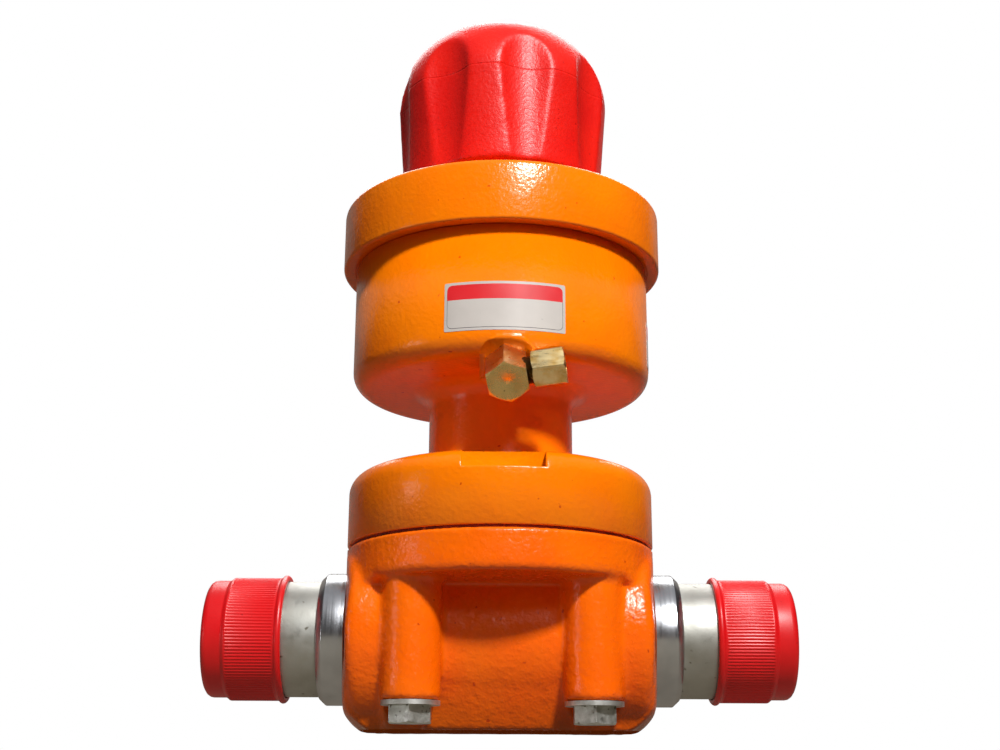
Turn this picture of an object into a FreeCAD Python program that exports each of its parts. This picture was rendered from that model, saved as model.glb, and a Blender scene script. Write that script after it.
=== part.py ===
import FreeCAD
import Part
import math
import os

# Abrasive metering valve: an air cylinder lifts a plunger off a seat in the body below, and the
# knob on top sets how far it may lift.
# Millimetres. X runs along the pipe, the front is -Y, Z runs up through the knob.
# Origin: centre of the flat underside of the lower body.

V = FreeCAD.Vector

# Shared by many pieces
overshoot = 1.0
overlap = 0.01
edge_break = 0.4
smallest_arc = 2.5
flats_per_corner = 3
fit_clearance = 0.06
soft_clearance = 0.3
groove_clearance = 0.1
nut_chamfer = 1.2
flat_end_chamfer = 0.1
casting_overrun = 5.0
flange_rooting = 2.0

# Pipe nipples, 1-1/4 inch pipe
pipe_outside = 42.16
pipe_inside = 35.0
pipe_axis_height = 33.5
nipple_outer_end = 99.0
nipple_inner_end = 43.0
collar_outside = 48.2
collar_outer_end = 66.0
collar_chamfer = 2.4
collar_face_gap = 0.6

# Thread protector caps on the nipples
thread_cap_lip_diameter = 46.8
thread_cap_band_diameter = 44.9
thread_cap_end_diameter = 42.7
thread_cap_open_end = 78.3
thread_cap_lip_length = 2.4
thread_cap_band_end = 98.7
thread_cap_length = 29.2
thread_cap_wall = 1.7
thread_cap_clearance = 0.3
thread_cap_lip_chamfer = 0.6
thread_cap_step_length = 1.3
thread_cap_end_gap = 0.6
thread_cap_end_round = 3.0

# Lower body casting
flange_diameter = 115.0
lower_body_height = 66.0
lower_flange_thickness = 14.6
flange_edge_round = 1.5
barrel_diameter = 65.0
hub_diameter = 78.0
hub_inner_end = 27.0
hub_bulge = 0.8
hub_bulge_height = 29.5
body_corner_round = 13.0
port_boss_diameter = 50.0
port_boss_end = 55.5
foot_width = 53.0
foot_height = 14.6
foot_taper = 8.5
bolt_circle_diameter = 90.0
bolt_count = 4
bolt_first_angle = 47.1
post_diameter = 21.0
post_bottom = 9.5
chamber_diameter = 44.0
outlet_chamber_diameter = 32.0
outlet_floor = 12.0
web_thickness = 9.0
web_top = 37.0
full_bore_start = 27.0

# Bolts, 3/8 inch, and plain washers
bolt_diameter = 9.5
bolt_hole_clearance = 0.4
bolt_head_flats = 14.29
bolt_head_height = 6.1
bolt_thread_depth = 17.0
bolt_hole_runout = 3.0
washer_diameter = 20.6
washer_hole_diameter = 10.7
washer_thickness = 1.6
washer_pocket_gap = 1.5

# Seat, sleeve and their O-rings
gasket_thickness = 1.0
gasket_inset = 1.5
gasket_bore_gap = 1.0
seat_bore = 20.0
seat_height = 5.0
seat_sink = 4.0
seat_spigot_diameter = 28.0
seat_spigot_gap = 0.5
sleeve_outside = 36.0
sleeve_bore = 25.4
sleeve_into_housing = 7.0
sleeve_window_height = 10.5
sleeve_window_width = 12.0
sleeve_window_rise = 1.5
sleeve_window_count = 4
sleeve_end_gap = 0.3
o_ring_section = 2.0

# Upper housing casting
upper_flange_thickness = 27.5
shoulder_round = 8.0
neck_diameter = 55.4
neck_length = 33.5
neck_foot_round = 4.0
neck_top_round = 8.0
cylinder_diameter = 115.2
cylinder_corner_round = 7.0
cylinder_floor = 9.0
piston_bore = 95.0
cylinder_height = 63.5
cap_thread_diameter = 112.0
cap_thread_length = 15.0
notch_width = 29.5
notch_centre = 1.2
notch_back = 46.5
notch_depth = 7.3

# Rod bush and seals in the neck
rod_diameter = 16.0
bush_outside = 26.0
bush_length = 36.0
rod_seal_height = 6.0
rod_seal_gap = 1.0
rod_seal_play = 0.2
rod_seal_lip = 1.0
rod_relief = 1.0
bush_press_clearance = 0.01
wiper_slope = 2.0

# Air boss, elbow and side fitting
boss_centre_x = 2.3
boss_centre_inset = 7.6
boss_centre_drop = 2.4
boss_slant = 45.0
boss_width = 20.0
boss_rise = 11.5
boss_drop = 10.5
boss_lower_corner = 4.5
boss_corner_round = 1.0
boss_arch_share = 0.9
boss_depth = 24.0
air_hole_diameter = 6.4
elbow_flats = 14.29
elbow_length = 13.4
elbow_turn = 10.0
elbow_stub_diameter = 13.1
elbow_stub_length = 8.8
elbow_bore = 6.0
elbow_chamfer = 1.1
elbow_thread_runout = 0.5
elbow_socket_depth = 4.0
fitting_flats = 12.7
fitting_start = 9.0
fitting_length = 11.7
fitting_stub_diameter = 9.6
fitting_inner_chamfer = 1.0
fitting_outer_chamfer = 0.8
fitting_bore = 5.0
fitting_stub_gap = 0.5
air_port_diameter = 8.6
air_port_depth = 10.0

# Piston and plunger
piston_gap_below = 2.0
piston_height = 16.0
piston_clearance = 0.08
piston_seal_height = 5.5
piston_seal_depth = 5.5
wear_ring_height = 3.0
wear_ring_depth = 2.0
groove_land = 2.5
piston_recess_diameter = 30.0
piston_recess_depth = 8.0
piston_nut_flats = 19.0
piston_seal_lip = 1.0
rod_end_diameter = 12.0
rod_end_over_piston = 1.0
plunger_tip_top_gap = 0.9
plunger_tip_clearance = 0.08
plunger_seat_gap = 0.1
tip_edge_chamfer = 0.5
tip_top_chamfer = 3.0
tip_socket_gap = 0.2
tip_socket_depth = 16.0
tip_socket_diameter = 10.0
plunger_lift = 7.0

# Return spring
spring_mean_diameter = 66.0
spring_wire = 5.5
spring_turns = 4.0
spring_end_gap = 0.15

# End cap, threaded bush, O-ring
end_cap_diameter = 125.5
end_cap_height = 23.5
end_cap_top_thickness = 8.5
end_cap_top_round = 2.0
end_cap_rim_round = 1.0
end_cap_skirt_gap = 0.4
end_cap_shoulder_gap = 0.2
end_cap_boss_diameter = 38.0
end_cap_boss_height = 6.0
end_cap_boss_round = 1.5
screw_bush_outside = 26.0
screw_bush_collar = 2.0
screw_bush_above_boss = 1.5

# Adjusting screw, thrust pad and knob
screw_diameter = 16.0
screw_lead = 2.0
knob_turns_down = 1.5
stop_clearance = 0.3
pad_diameter = 28.0
pad_thickness = 6.0
pad_recess_diameter = 18.0
pad_recess_depth = 2.8
spigot_diameter = 10.0
spigot_end_gap = 0.4
screw_end_chamfer = 1.0
pad_shoulder_gap = 0.1
clip_thickness = 1.2
clip_outside = 16.0
clip_recess_gap = 0.2
clip_groove_depth = 1.0
clip_groove_play = 0.05
clip_bite = 0.8
clip_mouth_share = 0.6
knob_gap_over_cap = 11.5
knob_foot_diameter = 79.6
knob_diameter = 85.6
knob_skirt_height = 38.0
knob_shoulder_round = 32.0
knob_height = 72.0
knob_wall = 4.2
knob_hub_diameter = 28.0
knob_hub_recess = 10.0
knob_rib_thickness = 3.0
knob_flute_wall_share = 0.7
screw_in_knob = 40.0
screw_end_gap = 0.3
flute_count = 8
flute_radius = 19.6
flute_inner_reach = 38.5
flute_first_angle = 13.0
jam_nut_flats = 24.0
jam_nut_height = 8.0

# Heights that follow from the sizes above
lower_flange_underside = lower_body_height - lower_flange_thickness
housing_bottom = lower_body_height + gasket_thickness
upper_flange_top = housing_bottom + upper_flange_thickness
cylinder_bottom = upper_flange_top + neck_length
bore_floor = cylinder_bottom + cylinder_floor
cylinder_top = cylinder_bottom + cylinder_height
end_cap_top = cylinder_top + end_cap_top_thickness + fit_clearance
end_cap_rim = end_cap_top - end_cap_height
boss_top = end_cap_top + end_cap_boss_height
seat_bottom = web_top - seat_sink
seat_top = seat_bottom + seat_height
sleeve_top = housing_bottom + sleeve_into_housing
tip_bottom = seat_top + plunger_seat_gap
tip_top = sleeve_top - plunger_lift - plunger_tip_top_gap
piston_bottom = bore_floor + piston_gap_below
piston_top = piston_bottom + piston_height
rod_top = piston_top + rod_end_over_piston
pad_bottom = rod_top + plunger_lift + knob_turns_down * screw_lead + stop_clearance
pad_top = pad_bottom + pad_thickness
knob_bottom = end_cap_top + knob_gap_over_cap
knob_shoulder = knob_bottom + knob_skirt_height
knob_top = knob_bottom + knob_height
bush_bottom = bore_floor - bush_length
boss_centre = V(boss_centre_x, boss_centre_inset - cylinder_diameter / 2, cylinder_bottom - boss_centre_drop)
boss_normal = V(0, -math.cos(math.radians(boss_slant)), -math.sin(math.radians(boss_slant)))
flange_radius = flange_diameter / 2
pipe_radius = pipe_outside / 2
bolt_circle_radius = bolt_circle_diameter / 2
bolt_hole_diameter = bolt_diameter + 2 * bolt_hole_clearance
past_casting = flange_radius + casting_overrun
web_bottom = web_top - web_thickness
fitting_stub_start = elbow_flats / 2 - elbow_socket_depth + fitting_stub_gap
clip_bottom = pad_bottom + pad_recess_depth - clip_thickness - clip_recess_gap


def cylinder_z(diameter, bottom, top, x=0.0, y=0.0):
    """Upright round bar."""
    return Part.makeCylinder(diameter / 2, top - bottom, V(x, y, bottom))


def cylinder_x(diameter, start, end):
    """Round bar along the pipe axis."""
    return Part.makeCylinder(diameter / 2, end - start, V(start, 0, pipe_axis_height), V(1, 0, 0))


def tube_z(outside, inside, bottom, top):
    """Upright ring of rectangular section."""
    return cylinder_z(outside, bottom, top).cut(cylinder_z(inside, bottom - overshoot, top + overshoot))


def rounded_face(corners, place, flats=0):
    """Flat face from corners (a, b, round); small rounds are cut straight, others get an arc or flats."""
    share_of_side = 0.49
    same_point = 1e-6
    points = [place(a, b) for a, b, _ in corners]
    joints = []
    for index, corner in enumerate(points):
        radius = corners[index][2]
        to_last = points[index - 1] - corner
        to_next = points[(index + 1) % len(points)] - corner
        half_angle = to_last.getAngle(to_next) / 2
        limit = share_of_side * min(to_last.Length, to_next.Length) * math.tan(half_angle)
        radius = min(radius, limit)
        if radius <= 0:
            joints.append((corner, corner, None))
            continue
        to_last.normalize()
        to_next.normalize()
        inward = to_last + to_next
        inward.normalize()
        reach = radius / math.tan(half_angle)
        middle = None
        if radius >= smallest_arc:
            middle = corner + inward * (radius / math.sin(half_angle) - radius)
        joints.append((corner + to_last * reach, corner + to_next * reach, middle))
    edges = []
    for index, (entry, leave, middle) in enumerate(joints):
        previous = joints[index - 1][1]
        if previous.distanceToPoint(entry) > same_point:
            edges.append(Part.LineSegment(previous, entry).toShape())
        if middle is not None and not flats:
            edges.append(Part.Arc(entry, middle, leave).toShape())
            continue
        steps = [entry, leave]
        if middle is not None:
            steps = Part.Arc(entry, middle, leave).toShape().discretize(flats + 1)
        for first, second in zip(steps, steps[1:]):
            if first.distanceToPoint(second) > same_point:
                edges.append(Part.LineSegment(first, second).toShape())
    return Part.Face(Part.Wire(edges))


def turned_z(corners, flats=0):
    """Solid of revolution about Z from corners (radius, height, round)."""
    face = rounded_face(corners, lambda radius, height: V(radius, 0, height), flats)
    return face.revolve(V(0, 0, 0), V(0, 0, 1), 360)


def turned_x(corners, flats=0):
    """Solid of revolution about the pipe axis from corners (x, radius, round)."""
    face = rounded_face(corners, lambda x, radius: V(x, 0, pipe_axis_height + radius), flats)
    return face.revolve(V(0, 0, pipe_axis_height), V(1, 0, 0), 360)


def o_ring(middle_diameter, height):
    """Round-section ring about Z, its middle at the given height."""
    return Part.makeTorus(middle_diameter / 2, o_ring_section / 2, V(0, 0, height))


def hexagon(flats, bottom, top):
    """Upright hexagonal bar with flats facing +X and -X."""
    corner_radius = flats / math.sqrt(3)
    corners = [V(corner_radius * math.cos(math.radians(30 + 60 * side)),
                 corner_radius * math.sin(math.radians(30 + 60 * side)), bottom) for side in range(6)]
    outline = Part.makePolygon(corners + [corners[0]])
    return Part.Face(outline).extrude(V(0, 0, top - bottom))


def chamfered_hexagon(flats, bottom, top, bottom_chamfer, top_chamfer):
    """Hexagonal bar with its ends turned to a cone, as bolt heads and fittings are."""
    across_corners = 2 * flats / math.sqrt(3)
    reach = across_corners / 2
    envelope = turned_z([(0, bottom, 0), (reach - bottom_chamfer, bottom, 0),
                         (reach, bottom + bottom_chamfer * 0.5, 0), (reach, top - top_chamfer * 0.5, 0),
                         (reach - top_chamfer, top, 0), (0, top, 0)])
    return hexagon(flats, bottom, top).common(envelope)


def bolt_places():
    """Centres of the flange bolts as seen from above; the pattern stands a little turned to the pipe."""
    places = []
    for index in range(bolt_count):
        angle = math.radians(bolt_first_angle + 360 * index / bolt_count)
        places.append((bolt_circle_radius * math.cos(angle), bolt_circle_radius * math.sin(angle)))
    return places


def joined(shapes):
    """One solid from overlapping shapes."""
    first = shapes[0]
    return first.fuse(shapes[1:]).removeSplitter()


def mirrored_x(shape):
    """The same piece on the other end of the pipe axis."""
    return shape.mirror(V(0, 0, 0), V(1, 0, 0))


# Lower body

def body_foot():
    """Flat foot under the barrel, as long as the casting, its sides sloping in towards the floor."""
    half = foot_width / 2
    bottom = half - foot_taper
    corners = [(-bottom, 0, edge_break), (bottom, 0, edge_break), (half, foot_height, 0),
               (-half, foot_height, 0)]
    face = rounded_face(corners, lambda y, z: V(-past_casting, y, z))
    return face.extrude(V(2 * past_casting, 0, 0))


def body_envelope():
    """Turned outer limit of the casting below the flange: nearly upright, swelling at mid height."""
    top = lower_flange_underside + flange_rooting
    widest = flange_radius + hub_bulge
    return turned_z([(0, 0, 0), (flange_radius + hub_bulge / 2, 0, body_corner_round),
                     (widest, hub_bulge_height, 0), (flange_radius, top, 0), (0, top, 0)],
                    flats_per_corner)


def body_outside():
    """Outer form of the lower casting."""
    hub = cylinder_x(hub_diameter, hub_inner_end, past_casting)
    forms = [cylinder_x(barrel_diameter, -past_casting, past_casting), body_foot(), hub, mirrored_x(hub)]
    casting = joined(forms).common(body_envelope()).cut(washer_pockets())
    flange = turned_z([(0, lower_flange_underside, 0),
                       (flange_radius, lower_flange_underside, flange_edge_round),
                       (flange_radius, lower_body_height, edge_break), (0, lower_body_height, 0)])
    pieces = [casting, flange]
    for x, y in bolt_places():
        post = cylinder_z(post_diameter, post_bottom, lower_flange_underside + flange_rooting, x, y)
        pieces.append(post)
    port_boss = cylinder_x(port_boss_diameter, hub_inner_end, port_boss_end)
    pieces += [port_boss, mirrored_x(port_boss)]
    return joined(pieces)


def flow_passages():
    """Inlet over the web on the left, outlet under it on the right, and the round chambers."""
    half_bore = pipe_inside / 2
    reach = full_bore_start + overshoot
    inlet = cylinder_x(pipe_inside, -past_casting, -full_bore_start)
    inlet_upper = cylinder_x(pipe_inside, -reach, 0).common(
        Part.makeBox(reach, pipe_inside, pipe_inside, V(-reach, -half_bore, web_top)))
    outlet_lower = cylinder_x(pipe_inside, 0, reach).common(
        Part.makeBox(reach, pipe_inside, web_bottom, V(0, -half_bore, 0)))
    outlet = cylinder_x(pipe_inside, full_bore_start, past_casting)
    return [inlet, inlet_upper, outlet_lower, outlet,
            cylinder_z(chamber_diameter, web_top, lower_body_height + overshoot),
            cylinder_z(outlet_chamber_diameter, outlet_floor, web_bottom + overlap)]


def seat_pocket():
    """Stepped hole in the web that carries the seat."""
    return [cylinder_z(sleeve_outside + 2 * fit_clearance, seat_bottom, web_top + overlap),
            cylinder_z(seat_spigot_diameter + 2 * fit_clearance, web_bottom - overlap, seat_bottom + overlap)]


def port_pockets():
    """Tapped ends for the nipples and the faces that the collars bear on."""
    thread = cylinder_x(pipe_outside + 2 * fit_clearance, nipple_inner_end, past_casting)
    face = cylinder_x(collar_outside + 2 * collar_face_gap, port_boss_end, past_casting)
    return [thread, mirrored_x(thread), face, mirrored_x(face)]


def washer_pockets():
    """Round reliefs in the foot and hubs that leave room for the washers and bolt heads."""
    diameter = washer_diameter + 2 * washer_pocket_gap
    return [cylinder_z(diameter, -overshoot, post_bottom, x, y) for x, y in bolt_places()]


def lower_body():
    """Casting with the flow passages, bolt posts and seat pocket."""
    holes = flow_passages() + seat_pocket() + port_pockets()
    for x, y in bolt_places():
        holes.append(cylinder_z(bolt_hole_diameter, 0, lower_body_height + overshoot, x, y))
    return body_outside().cut(holes)


# Seat and sleeve

def valve_seat():
    """Stepped ring that the plunger closes on, with a groove for its O-ring."""
    spigot_bottom = web_bottom + seat_spigot_gap
    ring = turned_z([(seat_bore / 2, spigot_bottom, 0), (seat_spigot_diameter / 2, spigot_bottom, 0),
                     (seat_spigot_diameter / 2, seat_bottom, 0), (sleeve_outside / 2, seat_bottom, 0),
                     (sleeve_outside / 2, seat_top, 0), (seat_bore / 2, seat_top, 0)])
    groove_depth = o_ring_section + groove_clearance
    half_groove = o_ring_section / 2 + groove_clearance
    middle = (seat_bottom + web_top) / 2
    groove = tube_z(sleeve_outside + overshoot, sleeve_outside - 2 * groove_depth,
                    middle - half_groove, middle + half_groove)
    return ring.cut(groove)


def seat_seal():
    """O-ring round the seat."""
    return o_ring(sleeve_outside - o_ring_section, (seat_bottom + web_top) / 2)


def metering_sleeve():
    """Wear sleeve with windows that the plunger uncovers as it lifts."""
    sleeve = tube_z(sleeve_outside, sleeve_bore, seat_top, sleeve_top)
    bottom = seat_top + sleeve_window_rise
    windows = []
    for index in range(sleeve_window_count):
        window = Part.makeBox(sleeve_outside, sleeve_window_width, sleeve_window_height,
                              V(0, -sleeve_window_width / 2, bottom))
        window.rotate(V(0, 0, 0), V(0, 0, 1), 360 * index / sleeve_window_count)
        windows.append(window)
    return sleeve.cut(windows)


def sleeve_seal_height():
    """Middle of the O-ring round the sleeve's upper end."""
    return (housing_bottom + sleeve_top) / 2


def sleeve_seal():
    """O-ring between the sleeve and the upper housing."""
    return o_ring(sleeve_outside + o_ring_section + 2 * fit_clearance, sleeve_seal_height())


def flange_gasket():
    """Flat gasket between the flanges, set in a little from their edge."""
    gasket = tube_z(flange_diameter - 2 * gasket_inset, chamber_diameter + 2 * gasket_bore_gap,
                    lower_body_height, housing_bottom)
    holes = [cylinder_z(bolt_hole_diameter, lower_body_height - overshoot, housing_bottom + overshoot, x, y)
             for x, y in bolt_places()]
    return gasket.cut(holes)


# Upper housing

def boss_placement(turn=0.0):
    """Frame of the air boss: Z out of its slanted face, X across it, turned about Z."""
    across = V(1, 0, 0)
    up_slope = boss_normal.cross(across)
    angle = math.radians(turn)
    turned_across = across * math.cos(angle) + up_slope * math.sin(angle)
    turned_up = boss_normal.cross(turned_across)
    rotation = FreeCAD.Rotation(turned_across, turned_up, boss_normal, "ZXY")
    return FreeCAD.Placement(boss_centre, rotation)


def placed(shape, placement):
    """Copy of a shape moved into a frame."""
    copy = shape.copy()
    copy.transformShape(placement.toMatrix())
    return copy


def boss_bar(start, end):
    """Bar with the boss's outline, arched on top, its lower corners cut; 0 is the slanted face."""
    half = boss_width / 2
    lower = half - boss_lower_corner
    lower_side = boss_lower_corner - boss_drop
    small = boss_corner_round
    arch = half * boss_arch_share
    corners = [(-lower, -boss_drop, small), (lower, -boss_drop, small), (half, lower_side, small),
               (half, boss_rise, arch), (-half, boss_rise, arch), (-half, lower_side, small)]
    face = rounded_face(corners, lambda x, y: V(x, y, start))
    return placed(face.extrude(V(0, 0, end - start)), boss_placement())


def housing_outside():
    """Turned outer form: flange with rounded shoulder, neck, cylinder and thread for the cap."""
    neck = neck_diameter / 2
    shell = cylinder_diameter / 2
    thread = cap_thread_diameter / 2
    thread_start = cylinder_top - cap_thread_length
    corners = [(0, housing_bottom, 0), (flange_radius, housing_bottom, edge_break),
               (flange_radius, upper_flange_top, shoulder_round), (neck, upper_flange_top, neck_foot_round),
               (neck, cylinder_bottom, neck_top_round), (shell, cylinder_bottom, cylinder_corner_round),
               (shell, thread_start, 0), (thread, thread_start, 0), (thread, cylinder_top, edge_break),
               (0, cylinder_top, 0)]
    return turned_z(corners)


def drain_notch():
    """Shallow pocket in the flange shoulder under the neck."""
    depth = flange_radius - notch_back + overshoot
    left = notch_centre - notch_width / 2
    return Part.makeBox(notch_width, depth, notch_depth + overshoot,
                        V(left, -notch_back - depth, upper_flange_top - notch_depth))


def housing_bores():
    """Piston bore, rod bush pocket, seal pockets and the sleeve pocket, on one axis."""
    seal_bottom = bush_bottom - rod_seal_gap - rod_seal_height
    wiper_bottom = sleeve_top + rod_seal_gap
    sleeve_pocket = sleeve_outside + 2 * fit_clearance
    groove = sleeve_pocket + 2 * o_ring_section
    ring = sleeve_seal_height()
    half_groove = o_ring_section / 2 + groove_clearance
    return [cylinder_z(piston_bore, bore_floor, cylinder_top + overshoot),
            cylinder_z(bush_outside, seal_bottom, bore_floor + overshoot),
            cylinder_z(rod_diameter + 2 * rod_relief, sleeve_top, seal_bottom + overshoot),
            cylinder_z(bush_outside, sleeve_top - overshoot, wiper_bottom + rod_seal_height),
            cylinder_z(sleeve_pocket, housing_bottom - overshoot, sleeve_top + sleeve_end_gap),
            cylinder_z(groove, ring - half_groove, ring + half_groove)]


def air_holes():
    """Tapped hole in the boss face and the drilling up into the cylinder."""
    tapped = cylinder_z(elbow_stub_diameter + 2 * fit_clearance, -elbow_stub_length - elbow_thread_runout,
                        overshoot)
    drilling = cylinder_z(air_hole_diameter, -boss_depth, overshoot)
    frame = boss_placement()
    return [placed(tapped, frame), placed(drilling, frame)]


def cap_ring_groove():
    """Groove in the top edge of the cylinder wall for the cap O-ring."""
    middle = (piston_bore + cap_thread_diameter) / 2
    width = o_ring_section + 2 * groove_clearance
    return tube_z(middle + width, middle - width, cylinder_top - o_ring_section - groove_clearance / 2,
                  cylinder_top + overshoot)


def upper_housing():
    """One casting from the body flange to the thread under the cap."""
    casting = joined([housing_outside(), boss_bar(-boss_depth, 0)])
    boss_face = boss_bar(0, elbow_length)
    holes = [boss_face, drain_notch(), cap_ring_groove()] + housing_bores() + air_holes()
    for x, y in bolt_places():
        holes.append(cylinder_z(bolt_diameter + 2 * fit_clearance, housing_bottom - overshoot,
                                housing_bottom + bolt_thread_depth + bolt_hole_runout, x, y))
    return casting.cut(holes)


def rod_bush():
    """Bronze guide of the plunger rod, its top level with the cylinder floor."""
    outside = bush_outside - 2 * bush_press_clearance
    return tube_z(outside, rod_diameter + 2 * fit_clearance, bush_bottom, bore_floor)


def rod_seal():
    """Lip seal under the bush."""
    top = bush_bottom - rod_seal_play
    bottom = top - rod_seal_height
    outside = bush_outside / 2 - fit_clearance
    inside = rod_diameter / 2 + soft_clearance
    middle = (outside + inside) / 2
    return turned_z([(inside, bottom, 0), (outside, bottom, 0), (outside, top, 0),
                     (middle + rod_seal_lip, top, 0), (middle, top - rod_seal_height / 2, 0),
                     (middle - rod_seal_lip, top, 0), (inside, top, 0)])


def rod_wiper():
    """Scraper that keeps grit out of the rod seal."""
    bottom = sleeve_top + rod_seal_gap
    outside = bush_outside / 2 - fit_clearance
    inside = rod_diameter / 2 + soft_clearance
    top = bottom + rod_seal_height - rod_seal_play
    return turned_z([(inside, bottom, 0), (inside + rod_seal_lip, bottom, 0),
                     (outside, bottom + wiper_slope, 0), (outside, top, 0), (inside + rod_seal_lip, top, 0)])


# Brass elbow and side fitting

def air_elbow():
    """Hexagonal elbow: stub in the boss, turned front face, side outlet to the right."""
    body = chamfered_hexagon(elbow_flats, 0, elbow_length, flat_end_chamfer, elbow_chamfer)
    stub = cylinder_z(elbow_stub_diameter, -elbow_stub_length, overlap)
    middle = elbow_length / 2
    bore = cylinder_z(elbow_bore, -elbow_stub_length - overshoot, middle + elbow_bore / 2)
    outlet = Part.makeCylinder(fitting_stub_diameter / 2 + fit_clearance, elbow_flats,
                               V(elbow_flats / 2 - elbow_socket_depth, 0, middle), V(1, 0, 0))
    inner = Part.makeCylinder(elbow_bore / 2, elbow_flats / 2, V(0, 0, middle), V(1, 0, 0))
    elbow = joined([body, stub]).cut([bore, outlet, inner])
    return placed(elbow, boss_placement(elbow_turn))


def fitting_frame():
    """Frame of the side fitting: Z along its axis away from the elbow."""
    elbow = boss_placement(elbow_turn)
    along = elbow.Rotation.multVec(V(1, 0, 0))
    outward = elbow.Rotation.multVec(V(0, 0, 1))
    side = along.cross(outward)
    start = boss_centre + outward * (elbow_length / 2)
    return FreeCAD.Placement(start, FreeCAD.Rotation(outward, side, along, "ZXY"))


def air_fitting():
    """Hexagonal adapter with the tapped port that takes the control air line."""
    end = fitting_start + fitting_length
    body = chamfered_hexagon(fitting_flats, fitting_start, end, fitting_inner_chamfer, fitting_outer_chamfer)
    stub = cylinder_z(fitting_stub_diameter, fitting_stub_start, fitting_start + overlap)
    port = cylinder_z(air_port_diameter, end - air_port_depth, end + overshoot)
    passage = cylinder_z(fitting_bore, 0, end)
    return placed(joined([body, stub]).cut([port, passage]), fitting_frame())


# Fasteners

def body_bolts():
    """Hex bolts from below, through the posts into the upper flange."""
    head_top = post_bottom - washer_thickness
    bolts = []
    for x, y in bolt_places():
        head = chamfered_hexagon(bolt_head_flats, head_top - bolt_head_height, head_top, nut_chamfer,
                                 flat_end_chamfer)
        shank = cylinder_z(bolt_diameter, head_top - overlap, housing_bottom + bolt_thread_depth)
        bolt = joined([head, shank])
        bolt.translate(V(x, y, 0))
        bolts.append(bolt)
    return Part.makeCompound(bolts)


def bolt_washers():
    """Plain washers between the bolt heads and the posts."""
    washers = []
    for x, y in bolt_places():
        washer = tube_z(washer_diameter, washer_hole_diameter, post_bottom - washer_thickness, post_bottom)
        washer.translate(V(x, y, 0))
        washers.append(washer)
    return Part.makeCompound(washers)


# Pipe ends

def right_nipple():
    """Plain pipe screwed into the body."""
    return cylinder_x(pipe_outside, nipple_inner_end, nipple_outer_end).cut(
        cylinder_x(pipe_inside, nipple_inner_end - overshoot, nipple_outer_end + overshoot))


def right_collar():
    """Bright lock collar against the body, chamfered on its outer edge."""
    outside = collar_outside / 2
    inside = pipe_radius + fit_clearance / 2
    return turned_x([(port_boss_end, inside, 0), (port_boss_end, outside, 0),
                     (collar_outer_end - collar_chamfer, outside, 0),
                     (collar_outer_end, outside - collar_chamfer, 0), (collar_outer_end, inside, 0)])


def right_thread_cap():
    """Soft closed cap over the pipe thread: flared lip, grip band, step and smooth end."""
    start = thread_cap_open_end
    end = start + thread_cap_length
    bore = pipe_radius + thread_cap_clearance
    lip = thread_cap_lip_diameter / 2
    band = thread_cap_band_diameter / 2
    tail = thread_cap_end_diameter / 2
    inner_tail = tail - thread_cap_wall
    seat = nipple_outer_end + thread_cap_end_gap
    chamfer = thread_cap_lip_chamfer
    band_start = start + thread_cap_lip_length
    inner_round = thread_cap_end_round - thread_cap_wall
    corners = [(start, bore, 0), (start, lip - chamfer, 0), (start + chamfer, lip, edge_break),
               (band_start - chamfer, lip, edge_break), (band_start, band, edge_break),
               (thread_cap_band_end, band, edge_break),
               (thread_cap_band_end + thread_cap_step_length, tail, edge_break),
               (end, tail, thread_cap_end_round), (end, 0, 0), (end - thread_cap_wall, 0, 0),
               (end - thread_cap_wall, inner_tail, inner_round), (seat, inner_tail, 0), (seat, bore, 0)]
    return turned_x(corners, flats_per_corner)


# Piston and plunger

def piston():
    """Air piston with a seal groove, a wear ring groove and a recess for its nut."""
    radius = piston_bore / 2 - piston_clearance
    body = tube_z(2 * radius, rod_end_diameter + 2 * fit_clearance, piston_bottom, piston_top)
    wear_bottom = piston_bottom + groove_land
    seal_bottom = wear_bottom + wear_ring_height + groove_land
    wear_groove = tube_z(2 * (radius + overshoot), 2 * (radius - wear_ring_depth), wear_bottom,
                         wear_bottom + wear_ring_height)
    seal_groove = tube_z(2 * (radius + overshoot), 2 * (radius - piston_seal_depth), seal_bottom,
                         seal_bottom + piston_seal_height)
    recess = cylinder_z(piston_recess_diameter, piston_top - piston_recess_depth, piston_top + overshoot)
    return body.cut([wear_groove, seal_groove, recess])


def piston_wear_ring():
    """Guide ring in the lower groove."""
    outside = piston_bore - 2 * soft_clearance
    inside = piston_bore - 2 * (piston_clearance + wear_ring_depth - groove_clearance)
    bottom = piston_bottom + groove_land + groove_clearance
    return tube_z(outside, inside, bottom, bottom + wear_ring_height - 2 * groove_clearance)


def piston_seal():
    """Lip seal in the upper groove, its lip towards the air below."""
    outside = piston_bore / 2 - soft_clearance
    inside = piston_bore / 2 - piston_clearance - piston_seal_depth + groove_clearance
    bottom = piston_bottom + 2 * groove_land + wear_ring_height + groove_clearance
    top = bottom + piston_seal_height - 2 * groove_clearance
    middle = (outside + inside) / 2
    return turned_z([(inside, bottom, 0), (middle - piston_seal_lip, bottom, 0),
                     (middle, bottom + piston_seal_height / 2, 0), (middle + piston_seal_lip, bottom, 0),
                     (outside, bottom, 0), (outside, top, 0), (inside, top, 0)])


def piston_nut():
    """Nut that clamps the piston on the rod."""
    bottom = piston_top - piston_recess_depth
    return chamfered_hexagon(piston_nut_flats, bottom, piston_top, flat_end_chamfer, nut_chamfer).cut(
        cylinder_z(rod_end_diameter + 2 * fit_clearance, bottom - overshoot, piston_top + overshoot))


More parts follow.
